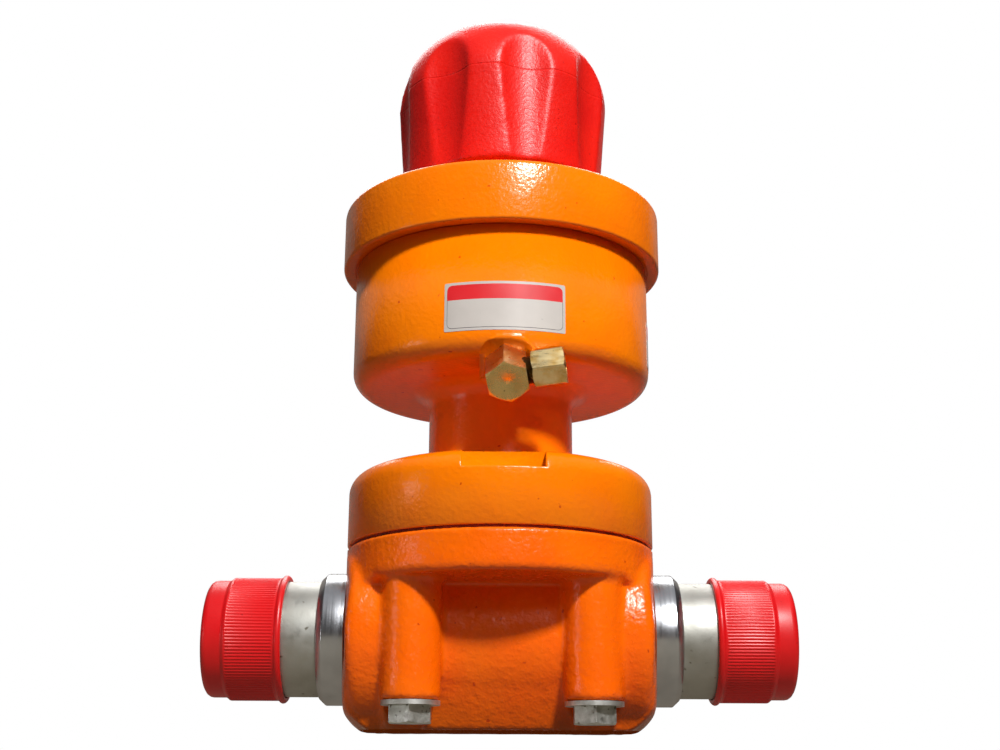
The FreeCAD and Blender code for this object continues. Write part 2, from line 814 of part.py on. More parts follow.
def plunger_rod():
    """Rod with a shoulder under the piston and a spigot in the plunger tip."""
    spigot_bottom = tip_top - tip_socket_depth + tip_socket_gap
    return joined([cylinder_z(rod_diameter, tip_top, piston_bottom),
                   cylinder_z(rod_end_diameter, piston_bottom - overlap, rod_top),
                   cylinder_z(tip_socket_diameter, spigot_bottom, tip_top + overlap)])


def plunger_tip():
    """Hard metal plunger that slides in the sleeve and closes on the seat."""
    radius = sleeve_bore / 2 - plunger_tip_clearance
    edge = tip_edge_chamfer
    shoulder = tip_top_chamfer
    tip = turned_z([(0, tip_bottom, 0), (radius - edge, tip_bottom, 0), (radius, tip_bottom + edge, 0),
                    (radius, tip_top - shoulder, 0), (radius - shoulder, tip_top, 0), (0, tip_top, 0)])
    return tip.cut(cylinder_z(tip_socket_diameter + 2 * fit_clearance, tip_top - tip_socket_depth,
                              tip_top + overshoot))


def return_spring():
    """Coil spring between the piston and the cap."""
    bottom = piston_top + spring_wire / 2 + spring_end_gap
    top = cylinder_top + fit_clearance - spring_wire / 2 - spring_end_gap
    path = Part.makeHelix((top - bottom) / spring_turns, top - bottom, spring_mean_diameter / 2)
    wire_circle = Part.Circle(V(spring_mean_diameter / 2, 0, 0), V(0, 1, 0), spring_wire / 2)
    section = Part.Wire([wire_circle.toShape()])
    coil = Part.Wire(path.Edges).makePipeShell([section], True, True)
    coil.translate(V(0, 0, bottom))
    return coil


# End cap

def end_cap():
    """Screw-on cap whose rim overhangs the cylinder, with a boss for the screw bush."""
    outside = end_cap_diameter / 2
    skirt = cylinder_diameter / 2 + end_cap_skirt_gap
    thread = cap_thread_diameter / 2 + fit_clearance
    thread_start = cylinder_top - cap_thread_length
    ceiling = end_cap_top - end_cap_top_thickness
    bush = screw_bush_outside / 2 + fit_clearance / 2
    boss = end_cap_boss_diameter / 2
    shoulder = thread_start + end_cap_shoulder_gap
    return turned_z([(skirt, end_cap_rim, edge_break), (outside, end_cap_rim, end_cap_rim_round),
                     (outside, end_cap_top, end_cap_top_round), (boss, end_cap_top, end_cap_boss_round),
                     (boss, boss_top, end_cap_boss_round), (bush, boss_top, 0), (bush, ceiling, 0),
                     (thread, ceiling, 0), (thread, shoulder, 0), (skirt, shoulder, 0)])


def cap_o_ring():
    """O-ring between the cylinder edge and the cap."""
    return o_ring((piston_bore + cap_thread_diameter) / 2, cylinder_top - o_ring_section / 2)


def screw_bush():
    """Threaded bronze bush of the adjusting screw, with a collar on top of the boss."""
    ceiling = end_cap_top - end_cap_top_thickness
    inside = screw_diameter / 2 + fit_clearance
    outside = screw_bush_outside / 2
    top = boss_top + screw_bush_above_boss
    collar = outside + screw_bush_collar
    return turned_z([(inside, ceiling, 0), (outside, ceiling, 0), (outside, boss_top, 0),
                     (collar, boss_top, 0), (collar, top, edge_break), (inside, top, 0)])


# Adjusting screw, thrust pad and knob

def adjusting_screw():
    """Screw from the knob down to the thrust pad, with a spigot for the pad and its clip."""
    shoulder = pad_top + pad_shoulder_gap
    radius = screw_diameter / 2
    chamfer = screw_end_chamfer
    top = knob_bottom + knob_hub_recess + screw_in_knob
    bar = turned_z([(0, shoulder, 0), (radius - chamfer, shoulder, 0), (radius, shoulder + chamfer, 0),
                    (radius, top - chamfer, 0), (radius - chamfer, top, 0), (0, top, 0)])
    spigot = cylinder_z(spigot_diameter, pad_bottom + spigot_end_gap, shoulder + overlap)
    groove = tube_z(spigot_diameter + 2 * overshoot, spigot_diameter - 2 * clip_groove_depth,
                    clip_bottom - clip_groove_play, clip_bottom + clip_thickness + clip_groove_play)
    return joined([bar, spigot]).cut(groove)


def pad_clip():
    """Open clip that keeps the pad on the screw."""
    ring = tube_z(clip_outside, spigot_diameter - 2 * clip_bite, clip_bottom, clip_bottom + clip_thickness)
    mouth_width = spigot_diameter * clip_mouth_share
    mouth = Part.makeBox(clip_outside, mouth_width, clip_thickness + 2 * overshoot,
                         V(0, -mouth_width / 2, clip_bottom - overshoot))
    return ring.cut(mouth)


def thrust_pad():
    """Swivelling pad that stops the piston without turning on it."""
    inside = spigot_diameter / 2 + fit_clearance
    outside = pad_diameter / 2
    pad = turned_z([(inside, pad_bottom, 0), (outside, pad_bottom, edge_break),
                    (outside, pad_top, edge_break), (inside, pad_top, 0)])
    return pad.cut(cylinder_z(pad_recess_diameter, pad_bottom - overshoot, pad_bottom + pad_recess_depth))


def knob_outline(inset):
    """Half profile of the knob or, with an inset, of its hollow."""
    foot = knob_foot_diameter / 2 - inset
    waist = knob_diameter / 2 - inset
    shoulder_radius = knob_shoulder_round - inset
    crown_top = knob_top - inset
    arc_centre = waist - shoulder_radius
    rise = crown_top - knob_shoulder
    crown_radius = (arc_centre ** 2 + rise ** 2 - shoulder_radius ** 2) / (2 * (rise - shoulder_radius))
    crown_centre = crown_top - crown_radius
    meet_angle = math.atan2(knob_shoulder - crown_centre, arc_centre)
    middle_angle = meet_angle / 2
    meet = V(crown_radius * math.cos(meet_angle), 0, crown_centre + crown_radius * math.sin(meet_angle))
    shoulder_middle = V(arc_centre + shoulder_radius * math.cos(middle_angle), 0,
                        knob_shoulder + shoulder_radius * math.sin(middle_angle))
    crown_angle = (meet_angle + math.pi / 2) / 2
    crown_middle = V(crown_radius * math.cos(crown_angle), 0,
                     crown_centre + crown_radius * math.sin(crown_angle))
    bottom = knob_bottom - (overshoot if inset else 0)
    start = V(0, 0, bottom)
    foot_point = V(foot, 0, bottom)
    shoulder_point = V(waist, 0, knob_shoulder)
    top_point = V(0, 0, crown_top)
    edges = [Part.LineSegment(start, foot_point).toShape(),
             Part.LineSegment(foot_point, shoulder_point).toShape(),
             Part.Arc(shoulder_point, shoulder_middle, meet).toShape(),
             Part.Arc(meet, crown_middle, top_point).toShape(), Part.LineSegment(top_point, start).toShape()]
    return Part.Face(Part.Wire(edges))


def knob_flutes():
    """Upright round cutters: the skirt flares up past them, so each flute widens and arches out."""
    cutters = []
    for index in range(flute_count):
        angle = math.radians(flute_first_angle - 90 + 360 * index / flute_count)
        reach = flute_inner_reach + flute_radius
        cutters.append(cylinder_z(2 * flute_radius, knob_bottom - overshoot, knob_top + overshoot,
                                  reach * math.cos(angle), reach * math.sin(angle)))
    return cutters


def knob():
    """Moulded hand knob: fluted outside, hollow below, a ribbed hub on the screw."""
    axis = V(0, 0, 1)
    outside = knob_outline(0).revolve(V(0, 0, 0), axis, 360).cut(knob_flutes())
    hollow = knob_outline(knob_wall).revolve(V(0, 0, 0), axis, 360)
    flute_wall = knob_wall * knob_flute_wall_share
    inner = cylinder_z(2 * (flute_inner_reach - flute_wall), knob_bottom - overshoot, knob_top)
    shell = outside.cut(hollow.common(inner))
    hub_bottom = knob_bottom + knob_hub_recess
    ribs = [cylinder_z(knob_hub_diameter, hub_bottom, knob_top - knob_wall)]
    for index in range(flute_count // 2):
        rib = Part.makeBox(2 * flute_inner_reach, knob_rib_thickness, knob_height,
                           V(-flute_inner_reach, -knob_rib_thickness / 2, hub_bottom))
        rib.rotate(V(0, 0, 0), axis, flute_first_angle + 180 * index / (flute_count // 2))
        ribs.append(rib)
    web = joined(ribs).common(outside)
    screw_hole = cylinder_z(screw_diameter + 2 * fit_clearance, hub_bottom - overshoot,
                            hub_bottom + screw_in_knob + screw_end_gap)
    return joined([shell, web]).cut(screw_hole)


def knob_jam_nut():
    """Nut that locks the knob on the adjusting screw, under the hub."""
    top = knob_bottom + knob_hub_recess
    return chamfered_hexagon(jam_nut_flats, top - jam_nut_height, top, nut_chamfer, nut_chamfer).cut(
        cylinder_z(screw_diameter + 2 * fit_clearance, knob_bottom, top + overshoot))


nodes = {
    "lower_body": lower_body,
    "valve_seat": valve_seat,
    "seat_seal": seat_seal,
    "metering_sleeve": metering_sleeve,
    "sleeve_seal": sleeve_seal,
    "flange_gasket": flange_gasket,
    "upper_housing": upper_housing,
    "rod_bush": rod_bush,
    "rod_seal": rod_seal,
    "rod_wiper": rod_wiper,
    "air_elbow": air_elbow,
    "air_fitting": air_fitting,
    "body_bolts": body_bolts,
    "bolt_washers": bolt_washers,
    "right_nipple": right_nipple,
    "left_nipple": lambda: mirrored_x(right_nipple()),
    "right_collar": right_collar,
    "left_collar": lambda: mirrored_x(right_collar()),
    "right_thread_cap": right_thread_cap,
    "left_thread_cap": lambda: mirrored_x(right_thread_cap()),
    "piston": piston,
    "piston_seal": piston_seal,
    "piston_wear_ring": piston_wear_ring,
    "piston_nut": piston_nut,
    "plunger_rod": plunger_rod,
    "plunger_tip": plunger_tip,
    "return_spring": return_spring,
    "end_cap": end_cap,
    "cap_o_ring": cap_o_ring,
    "screw_bush": screw_bush,
    "adjusting_screw": adjusting_screw,
    "pad_clip": pad_clip,
    "thrust_pad": thrust_pad,
    "knob": knob,
    "knob_jam_nut": knob_jam_nut,
}

os.makedirs("parts", exist_ok=True)
for name, build in nodes.items():
    shape = build()
    shape.exportStep(os.path.join("parts", name + ".step"))
    print(name, len(shape.Solids), "solid(s)", round(shape.Volume), "mm3", shape.isValid())
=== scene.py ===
import math
import bpy
import bmesh
from mathutils import Matrix, Vector, noise


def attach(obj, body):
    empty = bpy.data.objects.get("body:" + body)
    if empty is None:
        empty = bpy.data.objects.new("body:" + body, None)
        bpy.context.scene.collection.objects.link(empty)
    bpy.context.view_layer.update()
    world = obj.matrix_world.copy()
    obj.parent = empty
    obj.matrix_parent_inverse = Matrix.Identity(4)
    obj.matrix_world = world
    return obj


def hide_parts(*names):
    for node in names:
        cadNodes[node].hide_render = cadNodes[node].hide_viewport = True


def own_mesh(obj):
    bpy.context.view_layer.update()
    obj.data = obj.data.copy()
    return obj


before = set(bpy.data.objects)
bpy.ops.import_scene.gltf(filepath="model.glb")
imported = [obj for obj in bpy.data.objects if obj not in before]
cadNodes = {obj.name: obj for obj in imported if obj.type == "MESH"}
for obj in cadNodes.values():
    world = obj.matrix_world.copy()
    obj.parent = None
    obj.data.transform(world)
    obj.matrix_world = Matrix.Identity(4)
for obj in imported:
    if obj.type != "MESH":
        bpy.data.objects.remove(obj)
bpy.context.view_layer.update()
mm = 0.001
scene = bpy.context.scene
pipeHeight = 33.5 * mm  # the pipe axis over the foot
joinWithin = 0.002 * mm  # points closer than this are one
cutWithin = 1e-7


def tint(red, green, blue):
    # a screen colour, 0 to 255, as Blender's linear values
    def linear(value):
        share = value / 255
        return share / 12.92 if share < 0.04 else ((share + 0.055) / 1.055) ** 2.4
    return (linear(red), linear(green), linear(blue), 1.0)


# ---- shared node groups

def startGroup(name, inputs, outputs):
    group = bpy.data.node_groups.new(name, "ShaderNodeTree")
    for label, kind, value in inputs:
        socket = group.interface.new_socket(label, in_out="INPUT", socket_type=kind)
        socket.default_value = value
    for label, kind in outputs:
        group.interface.new_socket(label, in_out="OUTPUT", socket_type=kind)
    return group, group.nodes.new("NodeGroupInput"), group.nodes.new("NodeGroupOutput")


def mathNode(tree, operation, first, second=None, third=None):
    node = tree.nodes.new("ShaderNodeMath")
    node.operation = operation
    for index, value in enumerate((first, second, third)):
        if value is None:
            continue
        if isinstance(value, (int, float)):
            node.inputs[index].default_value = value
        else:
            tree.links.new(value, node.inputs[index])
    return node.outputs[0]


def noiseNode(tree, vector, scale, detail=2.0, roughness=0.5):
    node = tree.nodes.new("ShaderNodeTexNoise")
    node.inputs["Detail"].default_value = detail
    node.inputs["Roughness"].default_value = roughness
    tree.links.new(scale, node.inputs["Scale"])
    tree.links.new(vector, node.inputs["Vector"])
    return node.outputs["Fac"]


def rangeNode(tree, value, given, wanted=(0.0, 1.0)):
    node = tree.nodes.new("ShaderNodeMapRange")
    for label, number in zip(("From Min", "From Max", "To Min", "To Max"), (*given, *wanted)):
        node.inputs[label].default_value = number
    tree.links.new(value, node.inputs["Value"])
    return node.outputs["Result"]


def clampNode(tree, value):
    node = tree.nodes.new("ShaderNodeClamp")
    tree.links.new(value, node.inputs["Value"])
    return node.outputs["Result"]


def blendNode(tree, share, first, second):
    # a mix of two colours, each a socket or a plain colour
    node = tree.nodes.new("ShaderNodeMix")
    node.data_type = "RGBA"
    tree.links.new(share, node.inputs["Factor"])
    for label, value in (("A", first), ("B", second)):
        if isinstance(value, tuple):
            node.inputs[label].default_value = value
        else:
            tree.links.new(value, node.inputs[label])
    return node.outputs["Result"]


def objectPlace(tree):
    return tree.nodes.new("ShaderNodeTexCoord").outputs["Object"]


def splitPlace(tree, vector):
    split = tree.nodes.new("ShaderNodeSeparateXYZ")
    tree.links.new(vector, split.inputs["Vector"])
    return split.outputs


# noise values that the groups stretch over their whole range
noiseSpread = {"drift": (0.38, 0.62), "speckSharpness": 18.0, "wear": (0.4, 0.6), "roughness": (0.3, 0.9)}


def makeGrainGroup():
    # two sizes of grain and a long wave as one height; Grain leaves the wave out
    group, given, result = startGroup(
        "surfaceGrain",
        [("Coarse Scale", "NodeSocketFloat", 200.0), ("Fine Scale", "NodeSocketFloat", 900.0),
         ("Fine Share", "NodeSocketFloat", 0.4), ("Wave Scale", "NodeSocketFloat", 110.0),
         ("Wave Share", "NodeSocketFloat", 0.0), ("Stretch", "NodeSocketVector", (1.0, 1.0, 1.0))],
        [("Height", "NodeSocketFloat"), ("Grain", "NodeSocketFloat")])
    stretch = group.nodes.new("ShaderNodeVectorMath")
    stretch.operation = "MULTIPLY"
    group.links.new(objectPlace(group), stretch.inputs[0])
    group.links.new(given.outputs["Stretch"], stretch.inputs[1])
    coarse = noiseNode(group, stretch.outputs[0], given.outputs["Coarse Scale"], 1.0)
    fine = noiseNode(group, stretch.outputs[0], given.outputs["Fine Scale"], 2.0, 0.6)
    weighted = mathNode(group, "MULTIPLY", fine, given.outputs["Fine Share"])
    grain = mathNode(group, "ADD", coarse, weighted)
    wave = noiseNode(group, stretch.outputs[0], given.outputs["Wave Scale"], 1.0)
    group.links.new(mathNode(group, "MULTIPLY_ADD", wave, given.outputs["Wave Share"], grain),
                    result.inputs["Height"])
    group.links.new(grain, result.inputs["Grain"])
    return group


def makeTintGroup():
    # colour that drifts between two tints, with small specks of a third
    group, given, result = startGroup(
        "driftingTint",
        [("Main", "NodeSocketColor", (1, 1, 1, 1)), ("Drift", "NodeSocketColor", (1, 1, 1, 1)),
         ("Speck", "NodeSocketColor", (0, 0, 0, 1)), ("Drift Scale", "NodeSocketFloat", 25.0),
         ("Speck Scale", "NodeSocketFloat", 500.0), ("Speck Limit", "NodeSocketFloat", 0.75)],
        [("Color", "NodeSocketColor")])
    place = objectPlace(group)
    wander = noiseNode(group, place, given.outputs["Drift Scale"], 3.0)
    drift = rangeNode(group, wander, noiseSpread["drift"])
    ground = blendNode(group, drift, given.outputs["Main"], given.outputs["Drift"])
    specks = noiseNode(group, place, given.outputs["Speck Scale"], 1.0)
    over = mathNode(group, "SUBTRACT", specks, given.outputs["Speck Limit"])
    mask = clampNode(group, mathNode(group, "MULTIPLY", over, noiseSpread["speckSharpness"]))
    group.links.new(blendNode(group, mask, ground, given.outputs["Speck"]), result.inputs["Color"])
    return group


def makeEdgeGroup():
    # worn or thin edges: where the surface turns sharply outwards, broken up by noise
    group, given, result = startGroup(
        "edgeWear",
        [("Color", "NodeSocketColor", (1, 1, 1, 1)), ("Worn", "NodeSocketColor", (0.5, 0.5, 0.5, 1)),
         ("Start", "NodeSocketFloat", 0.52), ("Softness", "NodeSocketFloat", 0.06),
         ("Amount", "NodeSocketFloat", 0.5), ("Break Scale", "NodeSocketFloat", 180.0)],
        [("Color", "NodeSocketColor")])
    shape = group.nodes.new("ShaderNodeNewGeometry")
    rise = mathNode(group, "SUBTRACT", shape.outputs["Pointiness"], given.outputs["Start"])
    share = clampNode(group, mathNode(group, "DIVIDE", rise, given.outputs["Softness"]))
    broken = noiseNode(group, objectPlace(group), given.outputs["Break Scale"], 3.0, 0.6)
    worn = mathNode(group, "MULTIPLY", share, rangeNode(group, broken, noiseSpread["wear"]))
    mask = mathNode(group, "MULTIPLY", worn, given.outputs["Amount"])
    group.links.new(blendNode(group, mask, given.outputs["Color"], given.outputs["Worn"]),
                    result.inputs["Color"])
    return group


def makeRingGroup():
    # lathe marks: a height that changes only with the distance from the Z axis of Place
    group, given, result = startGroup(
        "latheRings",
        [("Place", "NodeSocketVector", (0.0, 0.0, 0.0)), ("Scale", "NodeSocketFloat", 2000.0)],
        [("Height", "NodeSocketFloat")])
    split = splitPlace(group, given.outputs["Place"])
    depth = mathNode(group, "MULTIPLY", split["Y"], split["Y"])
    square = mathNode(group, "MULTIPLY_ADD", split["X"], split["X"], depth)
    radius = group.nodes.new("ShaderNodeCombineXYZ")
    group.links.new(mathNode(group, "SQRT", square), radius.inputs["X"])
    group.links.new(noiseNode(group, radius.outputs["Vector"], given.outputs["Scale"], 3.0, 0.7),
                    result.inputs["Height"])
    return group


grainGroup = makeGrainGroup()
ringGroup = makeRingGroup()
tintGroup = makeTintGroup()
edgeGroup = makeEdgeGroup()


def placeGroup(tree, group, values):
    node = tree.nodes.new("ShaderNodeGroup")
    node.node_tree = group
    for label, value in values.items():
        node.inputs[label].default_value = value
    return node


def makeFinish(name, look):
    material = bpy.data.materials.new(name)
    material.use_nodes = True
    tree = material.node_tree
    shader = tree.nodes["Principled BSDF"]
    for label, value in look.get("shader", {}).items():
        shader.inputs[label].default_value = value
    colour = placeGroup(tree, tintGroup, look["tint"])
    if "edge" in look:
        edge = placeGroup(tree, edgeGroup, look["edge"])
        tree.links.new(colour.outputs["Color"], edge.inputs["Color"])
        colour = edge
    tree.links.new(colour.outputs["Color"], shader.inputs["Base Color"])
    grain = placeGroup(tree, grainGroup, look["grain"])
    rough = rangeNode(tree, grain.outputs["Grain"], noiseSpread["roughness"], look["roughness"])
    tree.links.new(rough, shader.inputs["Roughness"])
    bump = tree.nodes.new("ShaderNodeBump")
    bump.inputs["Strength"].default_value = 1.0
    bump.inputs["Distance"].default_value = look["bumpDepth"] * mm
    tree.links.new(grain.outputs["Height"], bump.inputs["Height"])
    if "rings" in look:
        addRings(tree, bump, look["rings"])
    tree.links.new(bump.outputs["Normal"], shader.inputs["Normal"])
    return material


def addRings(tree, bump, rings):
    # lathe marks under the grain, round the Z axis of the given frame
    local = rings["frame"].inverted()
    mapping = tree.nodes.new("ShaderNodeMapping")
    mapping.inputs["Location"].default_value = local.translation
    mapping.inputs["Rotation"].default_value = local.to_euler()
    tree.links.new(objectPlace(tree), mapping.inputs["Vector"])
    marks = placeGroup(tree, ringGroup, {"Scale": rings["scale"]})
    tree.links.new(mapping.outputs["Vector"], marks.inputs["Place"])
    under = tree.nodes.new("ShaderNodeBump")
    under.inputs["Distance"].default_value = rings["depth"] * mm
    tree.links.new(marks.outputs["Height"], under.inputs["Height"])
    tree.links.new(under.outputs["Normal"], bump.inputs["Normal"])


elbowShape = {
    "centre": (2.3, -50.0, 125.6), "turn": 10.0, "length": 13.4, "threadEnd": 8.95, "segments": 96,
    "face": [(7.1, 13.1, 0.0), (7.1, 13.43, 0.0), (6.85, 13.46, 0.0), (0.8, 13.46, 0.0), (0.45, 13.2, 0.0),
             (0.0, 13.2, 0.0), (0.0, 13.1, 0.0)]}


def elbowPlace():
    # Z runs out of the boss face, X to the right outlet
    out = Vector((0, -1, -1)).normalized()
    across = Vector((1, 0, 0))
    upSlope = out.cross(across)
    turn = math.radians(elbowShape["turn"])
    right = across * math.cos(turn) + upSlope * math.sin(turn)
    up = out.cross(right)
    place = Matrix((right, up, out)).transposed().to_4x4()
    place.translation = Vector(elbowShape["centre"]) * mm
    return place


finishLooks = {
    "orangeEnamel": {
        "tint": {"Main": tint(254, 128, 0), "Drift": tint(252, 120, 0), "Speck": tint(210, 78, 0),
                 "Drift Scale": 30.0, "Speck Scale": 420.0, "Speck Limit": 0.76},
        "grain": {"Coarse Scale": 620.0, "Fine Scale": 1500.0, "Fine Share": 0.35, "Wave Scale": 120.0,
                  "Wave Share": 1.3},
        "roughness": (0.13, 0.25), "bumpDepth": 0.15, "shader": {"IOR": 1.5, "Specular IOR Level": 0.34}},
    # painted shade: the same orange paint as orangeEnamel, made darker and redder for the lower casting,
    # which sits in more shade
    "shadedEnamel": {
        "tint": {"Main": tint(252, 110, 0), "Drift": tint(249, 100, 0), "Speck": tint(204, 66, 0),
                 "Drift Scale": 30.0, "Speck Scale": 420.0, "Speck Limit": 0.75},
        "edge": {"Worn": tint(255, 146, 24), "Start": 0.53, "Softness": 0.08, "Amount": 0.3},
        "grain": {"Coarse Scale": 480.0, "Fine Scale": 1200.0, "Fine Share": 0.4, "Wave Scale": 110.0,
                  "Wave Share": 1.2},
        "roughness": (0.15, 0.28), "bumpDepth": 0.24, "shader": {"IOR": 1.5, "Specular IOR Level": 0.34}},
    "redPlastic": {
        "tint": {"Main": tint(226, 26, 12), "Drift": tint(216, 18, 10), "Speck": tint(186, 10, 8),
                 "Drift Scale": 40.0, "Speck Scale": 900.0, "Speck Limit": 0.7},
        "edge": {"Worn": tint(240, 70, 50), "Start": 0.52, "Softness": 0.08, "Amount": 0.5},
        "grain": {"Coarse Scale": 750.0, "Fine Scale": 1900.0, "Fine Share": 0.6},
        "roughness": (0.26, 0.42), "bumpDepth": 0.12,
        "shader": {"IOR": 1.49, "Specular IOR Level": 0.34}},
    "redVinyl": {
        "tint": {"Main": tint(218, 12, 18), "Drift": tint(208, 8, 15), "Speck": tint(184, 6, 12),
                 "Drift Scale": 60.0, "Speck Scale": 600.0, "Speck Limit": 0.76},
        "grain": {"Coarse Scale": 90.0, "Fine Scale": 1200.0, "Fine Share": 0.2},
        "roughness": (0.3, 0.42), "bumpDepth": 0.08,
        "shader": {"IOR": 1.5}},
    "satinZinc": {
        "tint": {"Main": tint(182, 182, 176), "Drift": tint(162, 161, 153), "Speck": tint(114, 110, 98),
                 "Drift Scale": 55.0, "Speck Scale": 300.0, "Speck Limit": 0.72},
        "edge": {"Worn": tint(225, 225, 222), "Start": 0.52, "Softness": 0.05, "Amount": 0.6},
        "grain": {"Coarse Scale": 260.0, "Fine Scale": 1400.0, "Fine Share": 0.5},
        "roughness": (0.4, 0.56), "bumpDepth": 0.05,
        "shader": {"Metallic": 1.0}},
    "brightZinc": {
        "tint": {"Main": tint(198, 200, 204), "Drift": tint(184, 186, 190), "Speck": tint(142, 142, 142),
                 "Drift Scale": 80.0, "Speck Scale": 500.0, "Speck Limit": 0.74},
        "grain": {"Coarse Scale": 700.0, "Fine Scale": 2500.0, "Fine Share": 0.7,
                  "Stretch": (1.0, 0.02, 0.02)},
        "roughness": (0.14, 0.26), "bumpDepth": 0.02,
        "shader": {"Metallic": 1.0}},
    "wornZinc": {
        "tint": {"Main": tint(190, 192, 186), "Drift": tint(150, 150, 140), "Speck": tint(92, 88, 78),
                 "Drift Scale": 160.0, "Speck Scale": 420.0, "Speck Limit": 0.62},
        "edge": {"Worn": tint(232, 232, 230), "Start": 0.53, "Softness": 0.05, "Amount": 0.8},
        "grain": {"Coarse Scale": 500.0, "Fine Scale": 1500.0, "Fine Share": 0.7},
        "roughness": (0.26, 0.5), "bumpDepth": 0.08,
        "shader": {"Metallic": 1.0}},
    "plainBrass": {
        "tint": {"Main": tint(224, 184, 108), "Drift": tint(206, 164, 92), "Speck": tint(124, 94, 48),
                 "Drift Scale": 120.0, "Speck Scale": 500.0, "Speck Limit": 0.74},
        "edge": {"Worn": tint(244, 226, 176), "Start": 0.53, "Softness": 0.05, "Amount": 0.7},
        "grain": {"Coarse Scale": 500.0, "Fine Scale": 2200.0, "Fine Share": 0.6,
                  "Stretch": (0.08, 1.0, 1.0)},
        "roughness": (0.2, 0.34), "bumpDepth": 0.02,
        "shader": {"Metallic": 1.0}},
    "turnedBrass": {
        "tint": {"Main": tint(214, 184, 120), "Drift": tint(200, 168, 106), "Speck": tint(124, 96, 52),
                 "Drift Scale": 150.0, "Speck Scale": 500.0, "Speck Limit": 0.78},
        "grain": {"Coarse Scale": 500.0, "Fine Scale": 2200.0, "Fine Share": 0.6},
        "roughness": (0.18, 0.3), "bumpDepth": 0.01,
        "rings": {"frame": elbowPlace(), "scale": 1500.0, "depth": 0.025},
        "shader": {"Metallic": 1.0}},
    # painted shade: the thread neck beside the elbow, painted as darker brass with lighter specks
    "shadedThread": {
        "tint": {"Main": tint(110, 88, 50), "Drift": tint(84, 66, 40), "Speck": tint(190, 170, 120),
                 "Drift Scale": 400.0, "Speck Scale": 700.0, "Speck Limit": 0.66},
        "grain": {"Coarse Scale": 900.0, "Fine Scale": 2200.0, "Fine Share": 0.6},
        "roughness": (0.3, 0.5), "bumpDepth": 0.2,
        "shader": {"Metallic": 1.0}},
    "blackRubber": {
        "tint": {"Main": tint(26, 26, 26), "Drift": tint(34, 33, 32), "Speck": tint(52, 50, 48),
                 "Drift Scale": 90.0, "Speck Scale": 700.0, "Speck Limit": 0.76},
        "grain": {"Coarse Scale": 300.0, "Fine Scale": 1600.0, "Fine Share": 0.5},
        "roughness": (0.5, 0.7), "bumpDepth": 0.05},
    "brownGasket": {
        "tint": {"Main": tint(150, 52, 12), "Drift": tint(112, 36, 10), "Speck": tint(190, 80, 20),
                 "Drift Scale": 150.0, "Speck Scale": 900.0, "Speck Limit": 0.66},
        "grain": {"Coarse Scale": 400.0, "Fine Scale": 1600.0, "Fine Share": 0.6},
        "roughness": (0.6, 0.85), "bumpDepth": 0.1},
    "turnedSteel": {
        "tint": {"Main": tint(170, 172, 176), "Drift": tint(150, 152, 156), "Speck": tint(100, 100, 102),
                 "Drift Scale": 60.0, "Speck Scale": 500.0, "Speck Limit": 0.76},
        "edge": {"Worn": tint(220, 220, 222), "Start": 0.53, "Softness": 0.05, "Amount": 0.6},
        "grain": {"Coarse Scale": 900.0, "Fine Scale": 2600.0, "Fine Share": 0.6,
                  "Stretch": (0.05, 0.05, 1.0)},
        "roughness": (0.2, 0.36), "bumpDepth": 0.02,
        "shader": {"Metallic": 1.0}},
    "turnedBronze": {
        "tint": {"Main": tint(176, 128, 70), "Drift": tint(156, 108, 58), "Speck": tint(96, 62, 30),
                 "Drift Scale": 70.0, "Speck Scale": 500.0, "Speck Limit": 0.76},
        "edge": {"Worn": tint(216, 176, 112), "Start": 0.53, "Softness": 0.05, "Amount": 0.6},
        "grain": {"Coarse Scale": 900.0, "Fine Scale": 2600.0, "Fine Share": 0.6,
                  "Stretch": (0.05, 0.05, 1.0)},
        "roughness": (0.24, 0.4), "bumpDepth": 0.02,
        "shader": {"Metallic": 1.0}},
    "wearPlastic": {
        "tint": {"Main": tint(96, 110, 92), "Drift": tint(84, 98, 82), "Speck": tint(140, 146, 120),
                 "Drift Scale": 90.0, "Speck Scale": 900.0, "Speck Limit": 0.7},
        "grain": {"Coarse Scale": 300.0, "Fine Scale": 1600.0, "Fine Share": 0.5},
        "roughness": (0.4, 0.6), "bumpDepth": 0.04},
    "labelWhite": {
        "tint": {"Main": tint(198, 191, 184), "Drift": tint(191, 184, 177), "Speck": tint(176, 170, 164),
                 "Drift Scale": 70.0, "Speck Scale": 900.0, "Speck Limit": 0.78},
        "grain": {"Coarse Scale": 160.0, "Fine Scale": 1500.0, "Fine Share": 0.3},
        "roughness": (0.3, 0.4), "bumpDepth": 0.02},
    "labelRed": {
        "tint": {"Main": tint(222, 38, 44), "Drift": tint(212, 32, 40), "Speck": tint(190, 24, 30),
                 "Drift Scale": 70.0, "Speck Scale": 900.0, "Speck Limit": 0.78},
        "grain": {"Coarse Scale": 160.0, "Fine Scale": 1500.0, "Fine Share": 0.3},
        "roughness": (0.3, 0.4), "bumpDepth": 0.02},
    "labelInk": {
        "tint": {"Main": tint(70, 66, 74), "Drift": tint(58, 56, 62), "Speck": tint(40, 38, 42),
                 "Drift Scale": 70.0, "Speck Scale": 900.0, "Speck Limit": 0.78},
        "grain": {"Coarse Scale": 160.0, "Fine Scale": 1500.0, "Fine Share": 0.3},
        "roughness": (0.35, 0.45), "bumpDepth": 0.02},
}
finishes = {name: makeFinish(name, look) for name, look in finishLooks.items()}
print("materials made:", len(finishes))

nodeFinish = {
    "seat_seal": "blackRubber", "sleeve_seal": "blackRubber", "rod_seal": "blackRubber",
    "rod_wiper": "blackRubber", "cap_o_ring": "blackRubber", "piston_seal": "blackRubber",
    "flange_gasket": "brownGasket", "rod_bush": "turnedBronze", "screw_bush": "turnedBronze",
    "body_bolts": "wornZinc", "bolt_washers": "satinZinc", "piston_wear_ring": "wearPlastic",
}


def dressNodes():
    for name, node in cadNodes.items():
        node.data.materials.clear()
        node.data.materials.append(finishes[nodeFinish.get(name, "turnedSteel")])


dressNodes()


# ---- making and finishing pieces

